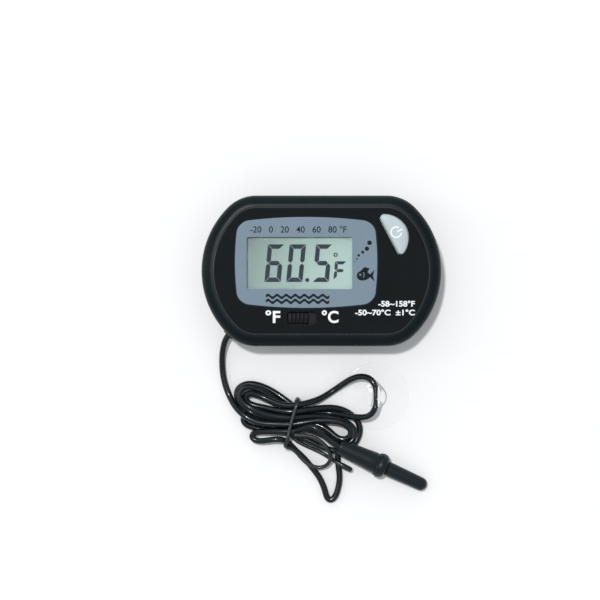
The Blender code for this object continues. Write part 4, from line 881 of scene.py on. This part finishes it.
waves_bm = bmesh.new()
for row in range(2):
    points = []
    for k in range(WAVE_STEPS + 1):
        share = k / WAVE_STEPS
        x = WAVES_LEFT + WAVES_LENGTH * share
        y = WAVES_TOP - WAVES_APART * row + WAVE_REACH * math.sin(share * WAVE_COUNT * 2 * math.pi)
        points.append(waves_bm.verts.new((x * MM, y * MM, 0)))
    line = [waves_bm.edges.new(pair) for pair in zip(points, points[1:])]
    upper = bmesh.ops.extrude_edge_only(waves_bm, edges=line)["geom"]
    upper = [item for item in upper if isinstance(item, bmesh.types.BMVert)]
    bmesh.ops.translate(waves_bm, verts=upper, vec=(0, -WAVE_STROKE * MM, 0))
print_on(waves_bm, "waves", LABEL_HIGH, label_ink, "housing", "label_film")

BUBBLES = [
    (10.04, 2.72, 0.15), (10.74, 3.6, 0.25), (11.29, 4.66, 0.38), (12.5, 5.64, 0.45),
    (13.78, 6.7, 0.65), (14.57, 8.49, 0.7),
]
fish_bm = bmesh.new()
for x, y, radius in BUBBLES:
    dot = bmesh.ops.create_circle(fish_bm, cap_ends=True, segments=24, radius=radius * MM)["verts"]
    bmesh.ops.translate(fish_bm, verts=dot, vec=(x * MM, y * MM, 0))
body = bmesh.ops.create_circle(fish_bm, cap_ends=True, segments=40, radius=1.0 * MM)["verts"]
for vert in body:
    vert.co.y *= 1.45 - 0.25 * vert.co.x / MM
    vert.co.x *= 2.05
bmesh.ops.translate(fish_bm, verts=body, vec=(12.75 * MM, -1.5 * MM, 0))
FISH_TAIL = [(14.3, -1.5), (16.1, 0.3), (15.6, -1.5), (16.1, -3.3)]
FISH_FIN = [(11.7, -0.2), (13.0, 1.15), (14.6, 0.75), (13.9, -0.5)]
for outline in (FISH_TAIL, FISH_FIN):
    fish_bm.faces.new([fish_bm.verts.new((x * MM, y * MM, 0)) for x, y in outline])
print_on(fish_bm, "fish_and_bubbles", LABEL_HIGH, label_ink, "housing", "label_film")
eye_bm = bmesh.new()
bmesh.ops.create_circle(eye_bm, cap_ends=True, segments=20, radius=0.32 * MM)
gill = bmesh.ops.create_grid(eye_bm, x_segments=1, y_segments=10, size=0.5)["verts"]
bmesh.ops.scale(eye_bm, verts=gill, vec=(0.22 * MM, 1.7 * MM, 1))
for vert in gill:
    vert.co.x += (1.15 - 0.35 * (vert.co.y / MM) ** 2) * MM
bmesh.ops.translate(eye_bm, verts=eye_bm.verts, vec=(11.75 * MM, -1.2 * MM, 0))
print_on(eye_bm, "fish_eye", LABEL_HIGH + 0.03, label_blue, "housing", "label_film")


# ---- Prints on the panel ---------------------------------------------------------------------
# White prints straight on the black front: the two units beside their switch, and the range
# that the unit measures.

words("unit_left", "°F", (-17.0, -15.84, -12.5, -11.95), PANEL, print_white, 0.025, "black_housing")
words("unit_right", "°C", (0.1, -15.84, 5.15, -11.95), PANEL, print_white, 0.025, "black_housing")
upper_box = (17.2, -10.9, 28.3, -9.04)
words("range_upper", "-58~158°F", upper_box, PANEL, print_white, 0.03, "black_housing")
lower_box = (10.2, -13.56, 28.3, -11.7)
words("range_lower", "-50~70°C  ±1°C", lower_box, PANEL, print_white, 0.03, "black_housing")


# ---- Display ---------------------------------------------------------------------------------
# A clear lens behind the label's window, and the liquid-crystal glass under it. The digits are
# slanted seven-segment figures whose segments meet in mitres with a fine gap.

GLASS_TOP = 15.0
DIGIT_HEIGHT = 11.43
DIGIT_WIDTH = 4.98
STROKE = 1.36
SEGMENT_GAP = 0.09
SLANT = math.tan(math.radians(5.5))
LIT = {"6": "acdefg", "0": "abcdef", "5": "acdfg", "F": "aefg"}


def softened(bm, width, angle=35, segments=3):
    """Rounds every edge of a closed shape that turns by more than an angle."""
    bmesh.ops.recalc_face_normals(bm, faces=bm.faces)
    edges = [e for e in bm.edges if e.is_manifold and e.calc_face_angle() > math.radians(angle)]
    bmesh.ops.bevel(
        bm, geom=edges, offset=width, offset_type="OFFSET", segments=segments, profile=0.5,
        affect="EDGES", clamp_overlap=True, material=-1,
    )


def block(name, centre, size, low, high, edge=0.08):
    """A flat block with softened edges, in mm."""
    bm = bmesh.new()
    bmesh.ops.create_cube(bm, size=1.0)
    bmesh.ops.scale(bm, verts=bm.verts, vec=(size[0] * MM, size[1] * MM, (high - low) * MM))
    bmesh.ops.translate(bm, verts=bm.verts, vec=(centre[0] * MM, centre[1] * MM, (low + high) / 2 * MM))
    softened(bm, edge * MM)
    return finished(bm, name)


def segments(width, height, stroke):
    """The corners of each of a figure's seven segments, upright, from its lower left corner."""
    g, s, w, h, m = SEGMENT_GAP, stroke, width, height, height / 2
    return {
        "a": [(g, h), (w - g, h), (w - s - g, h - s), (s + g, h - s)],
        "d": [(g, 0), (s + g, s), (w - s - g, s), (w - g, 0)],
        "g": [(s / 2 + g, m), (s + g, m + s / 2), (w - s - g, m + s / 2), (w - s / 2 - g, m),
              (w - s - g, m - s / 2), (s + g, m - s / 2)],
        "f": [(0, h - g), (s, h - s - g), (s, m + s / 2 + g), (s / 2, m + g), (0, m + s / 2 + g)],
        "e": [(0, g), (0, m - s / 2 - g), (s / 2, m - g), (s, m - s / 2 - g), (s, s + g)],
        "b": [(w, h - g), (w, m + s / 2 + g), (w - s / 2, m + g), (w - s, m + s / 2 + g),
              (w - s, h - s - g)],
        "c": [(w, g), (w - s, s + g), (w - s, m - s / 2 - g), (w - s / 2, m - g), (w, m - s / 2 - g)],
    }


def figure(bm, sign, left, bottom, width, height, stroke):
    """Adds one slanted figure to a bmesh, each lit segment as one face."""
    shapes = segments(width, height, stroke)
    for letter in LIT[sign]:
        corners = [
            bm.verts.new(((left + x + SLANT * y) * MM, (bottom + y) * MM, 0)) for x, y in shapes[letter]
        ]
        face = bm.faces.new(corners)
        face.normal_update()
        if face.normal.z < 0:
            face.normal_flip()


def display_with_painted_shade(name):
    """Grey-green glass with painted shade: darker at the upper left, paler and greener to the lower
    right.
    """
    material = moulded(name, (0.32, 0.42, 0.4), 0.3, grain=0.2, depth=0.03, specular=0.25)
    nodes, links = material.node_tree.nodes, material.node_tree.links
    mapping = nodes.new("ShaderNodeMapping")
    mapping.inputs["Location"].default_value = (0.75, 0.38, 0)
    mapping.inputs["Rotation"].default_value = (0, 0, math.radians(28))
    mapping.inputs["Scale"].default_value = (30, 30, 30)
    links.new(nodes["Texture Coordinate"].outputs["Object"], mapping.inputs["Vector"])
    # Painted shade: a diagonal gradient darkens the glass towards the upper left.
    painted_shade_fade = nodes.new("ShaderNodeTexGradient")
    links.new(mapping.outputs["Vector"], painted_shade_fade.inputs["Vector"])
    shades = nodes.new("ShaderNodeValToRGB")
    shades.color_ramp.elements[0].color = (0.14, 0.2, 0.19, 1)
    shades.color_ramp.elements[1].color = (0.385, 0.52, 0.48, 1)
    links.new(painted_shade_fade.outputs["Fac"], shades.inputs["Fac"])
    links.new(shades.outputs["Color"], nodes["Principled BSDF"].inputs["Base Color"])
    return material


lens = block("lens", WINDOW_CENTRE, (WINDOW_SIZE[0] + 2, WINDOW_SIZE[1] + 2), 15.3, 16.1, 0.1)
lens_clear = clear_plastic("lens_clear", (0.98, 0.99, 0.985), 0.02, 1.3)
settle_in(lens, lens_clear, "housing", "clear_window", "window_lens")
# The front glass has painted shade, darker towards the upper left.
front_glass = block(
    "front_glass", (WINDOW_CENTRE[0], WINDOW_CENTRE[1] - 1.3),
    (WINDOW_SIZE[0] + 4, WINDOW_SIZE[1] + 4.6), 14.2, GLASS_TOP, 0.06,
)
settle_in(front_glass, display_with_painted_shade("display_green"), "housing", "display_glass", "lcd_front_glass")

digits_bm = bmesh.new()
for sign, left in (("6", -17.36), ("0", -10.75), ("5", -2.75)):
    figure(digits_bm, sign, left, -3.39, DIGIT_WIDTH, DIGIT_HEIGHT, STROKE)
figure(digits_bm, "F", 3.6, -2.75, 3.5, 5.65, 0.95)
point = bmesh.ops.create_circle(digits_bm, cap_ends=True, segments=28, radius=0.62 * MM)["verts"]
bmesh.ops.translate(digits_bm, verts=point, vec=(-4.32 * MM, -2.78 * MM, 0))
ring_low = digits_bm.verts.new((4.6 * MM, 4.88 * MM, 0))
ring_high = digits_bm.verts.new((4.95 * MM, 4.88 * MM, 0))
ring_edge = digits_bm.edges.new((ring_low, ring_high))
bmesh.ops.spin(
    digits_bm, geom=[ring_low, ring_high, ring_edge], cent=(4.3 * MM, 4.88 * MM, 0), axis=(0, 0, 1),
    angle=2 * math.pi, steps=28, use_merge=True,
)
bmesh.ops.recalc_face_normals(digits_bm, faces=digits_bm.faces)
digit_ink = moulded("digit_slate", (0.016, 0.025, 0.036), 0.6, grain=0.2, depth=0.03, specular=0.1)
print_on(digits_bm, "digits", GLASS_TOP + 0.01, digit_ink, "housing", "display_glass")


# ---- Unit switch -----------------------------------------------------------------------------
# A small black slide knob with finger ribs across it. Its skirt runs under the panel, and its
# stem reaches down into the switch on the board.

KNOB_CENTRE = (-7.06, -14.4)
KNOB_CAP = (6.0, 3.1)
KNOB_STEM = (2.0, 1.2)
KNOB_SKIRT = (11.6, 4.7, 0.7)
SKIRT_MIDDLE = 14.75
GROOVE_RADIUS = 0.36
GROOVE_HEIGHT = 16.62
GROOVES_APART = 1.2


def set_in(bm, face, centre, size):
    """Insets a level rectangular face, so that it has a given size round a centre, in mm."""
    bmesh.ops.inset_individual(bm, faces=[face], thickness=0.6 * MM)
    for vert in face.verts:
        vert.co.x = centre[0] * MM + math.copysign(size[0] / 2 * MM, vert.co.x - centre[0] * MM)
        vert.co.y = centre[1] * MM + math.copysign(size[1] / 2 * MM, vert.co.y - centre[1] * MM)


knob_black = moulded(
    "knob_black", (0.0035, 0.0045, 0.005), 0.45, grain=0.4, depth=0.14, specular=0.13
)
knob_bm = bmesh.new()
skirt = bmesh.ops.create_cube(knob_bm, size=1.0)["verts"]
bmesh.ops.scale(knob_bm, verts=skirt, vec=Vector(KNOB_SKIRT) * MM)
bmesh.ops.translate(knob_bm, verts=skirt, vec=(*(Vector(KNOB_CENTRE) * MM), SKIRT_MIDDLE * MM))
knob_bm.faces.ensure_lookup_table()
top = max(knob_bm.faces, key=lambda face: face.calc_center_median().z)
set_in(knob_bm, top, KNOB_CENTRE, KNOB_CAP)
carried_on(knob_bm, top, [(0, 1.5)])
low = min(knob_bm.faces, key=lambda face: face.calc_center_median().z)
set_in(knob_bm, low, KNOB_CENTRE, KNOB_STEM)
carried_on(knob_bm, low, [(0, -1.2)])
softened(knob_bm, 0.14 * MM)
knob = finished(knob_bm, "knob")
grooves = []
for k in range(4):
    groove_bm = bmesh.new()
    bmesh.ops.create_cone(
        groove_bm, cap_ends=True, segments=24, radius1=GROOVE_RADIUS * MM,
        radius2=GROOVE_RADIUS * MM, depth=8 * MM, matrix=Matrix.Rotation(math.pi / 2, 4, "X"),
    )
    groove_place = Vector((KNOB_CENTRE[0] + (k - 1.5) * GROOVES_APART, KNOB_CENTRE[1], GROOVE_HEIGHT))
    bmesh.ops.translate(groove_bm, verts=groove_bm.verts, vec=groove_place * MM)
    grooves.append(finished(groove_bm, f"groove_{k}"))
carved(knob, *grooves)
settle_in(knob, knob_black, "unit_switch", "black_knob", "unit_switch_knob")


# ---- Rear cover, door and screws -------------------------------------------------------------
# The moulded rear half with its battery chamber, the round coin-slot door that turns under two
# lugs, and the small plated screws that hold the case and the board.


def kept_mesh(node, body, slot, material, edge=0.12, angle=32):
    """Shows a node by a copy of its own shape with merged corners and softened edges."""
    source = bpy.data.objects[node]
    bm = bmesh.new()
    bm.from_mesh(source.data)
    bmesh.ops.transform(bm, verts=bm.verts, matrix=source.matrix_world)
    bmesh.ops.remove_doubles(bm, verts=bm.verts, dist=0.002 * MM)
    bmesh.ops.dissolve_limit(
        bm, angle_limit=math.radians(1.0), verts=bm.verts, edges=bm.edges, use_dissolve_boundaries=False
    )
    piece = finished(bm, node + "_piece", angle, 90.0)
    rounded = piece.modifiers.new("edges", "BEVEL")
    rounded.width = edge * MM
    rounded.segments = 2
    rounded.limit_method = "ANGLE"
    rounded.angle_limit = math.radians(35)
    rounded.use_clamp_overlap = True
    rounded.harden_normals = True
    return settle_in(piece, material, body, slot, node)


def plated(name, colour, roughness, scratch=0.15):
    """Bare or plated metal with faint handling marks in its gloss."""
    material = moulded(name, colour, roughness, grain=0.8, depth=scratch, cloud=0.05)
    material.node_tree.nodes["Principled BSDF"].inputs["Metallic"].default_value = 1.0
    return material


kept_mesh("rear_cover", "housing", "black_housing", housing_black, 0.1)
kept_mesh("battery_door", "battery_door", "black_housing", housing_black, 0.12)
screw_steel = plated("screw_steel", (0.56, 0.57, 0.58), 0.28)
for screw in range(1, 5):
    kept_mesh(f"case_screw_{screw}", "housing", "steel", screw_steel, 0.06)
for screw in range(1, 3):
    kept_mesh(f"board_screw_{screw}", "housing", "steel", screw_steel, 0.05)


# ---- Display parts behind the glass ----------------------------------------------------------
# The rear glass, the pale foil that throws light back through it, and the striped rubber that
# joins the glass to the board.

rear_glass_clear = clear_plastic("rear_glass_clear", (0.9, 0.95, 0.93), 0.03, 1.5)
kept_mesh("lcd_rear_glass", "housing", "display_glass", rear_glass_clear, 0.05)
foil = moulded("foil", (0.62, 0.66, 0.62), 0.35, grain=0.3, depth=0.1, cloud=0.04)
kept_mesh("lcd_reflector", "housing", "display_reflector", foil, 0.04)
strip_rubber = moulded("strip_rubber", (0.35, 0.33, 0.32), 0.7, grain=0.2, depth=0.2, cloud=0.3)
kept_mesh("zebra_strip", "housing", "contact_rubber", strip_rubber, 0.08)


# ---- Circuit board and its components --------------------------------------------------------
# A green laminate board. It carries a black resin blob over the chip, a clock crystal in a
# metal can, chip capacitors and resistors, and the slide switch's base.

laminate = moulded("laminate", (0.02, 0.11, 0.05), 0.4, grain=0.3, depth=0.12, cloud=0.25, coat=0.3)
kept_mesh("circuit_board", "housing", "board", laminate, 0.06)
resin = moulded("resin", (0.01, 0.01, 0.011), 0.22, grain=1.2, depth=0.05, coat=0.2)
kept_mesh("chip_blob", "housing", "epoxy", resin, 0.1)
ceramic = moulded("ceramic", (0.42, 0.31, 0.2), 0.45, grain=0.2, depth=0.1)
film = moulded("film", (0.03, 0.03, 0.035), 0.4, grain=0.2, depth=0.1)
for number in (1, 2):
    kept_mesh(f"capacitor_{number}", "housing", "component", ceramic, 0.05)
    kept_mesh(f"resistor_{number}", "housing", "component", film, 0.04)
can_metal = plated("can_metal", (0.7, 0.7, 0.69), 0.2)
kept_mesh("crystal", "housing", "steel", can_metal, 0.1)
kept_mesh("unit_switch_base", "housing", "steel", can_metal, 0.08)
dome_silicone = moulded("dome_silicone", (0.5, 0.5, 0.48), 0.6, grain=0.5, depth=0.1)
kept_mesh("contact_dome", "housing", "silicone", dome_silicone, 0.05)


# ---- Battery and contacts --------------------------------------------------------------------
# A round button cell in a plated can, with a sprung brass clip at its edge and a cone spring
# beneath it.

cell_steel = plated("cell_steel", (0.66, 0.66, 0.65), 0.24)
kept_mesh("battery", "housing", "steel", cell_steel, 0.15)
brass = plated("brass", (0.72, 0.56, 0.27), 0.3)
kept_mesh("battery_clip_positive", "housing", "spring_brass", brass, 0.04)
kept_mesh("battery_spring_negative", "housing", "spring_brass", brass, 0.04)


# ---- Grommet, cores and sensor ---------------------------------------------------------------
# A soft sleeve guides the lead out of the rear cover. Inside the case and the probe the jacket
# ends and two thin coloured cores go on, to the board and to the resin bead of the sensor.

kept_mesh("lead_grommet", "housing", "lead_pvc", lead_black, 0.12)
kept_mesh("lead_inner", "housing", "lead_pvc", lead_black, 0.02)
kept_mesh("lead_in_probe", "housing", "lead_pvc", lead_black, 0.02)
red_coat = moulded("red_coat", (0.5, 0.03, 0.02), 0.35, grain=0.4, depth=0.08)
black_coat = moulded("black_coat", (0.015, 0.015, 0.016), 0.35, grain=0.4, depth=0.08)
for node in ("core_red", "probe_core_red"):
    kept_mesh(node, "housing", "core_red", red_coat, 0.01)
for node in ("core_black", "probe_core_black"):
    kept_mesh(node, "housing", "core_black", black_coat, 0.01)
kept_mesh("thermistor", "housing", "epoxy", resin, 0.05)
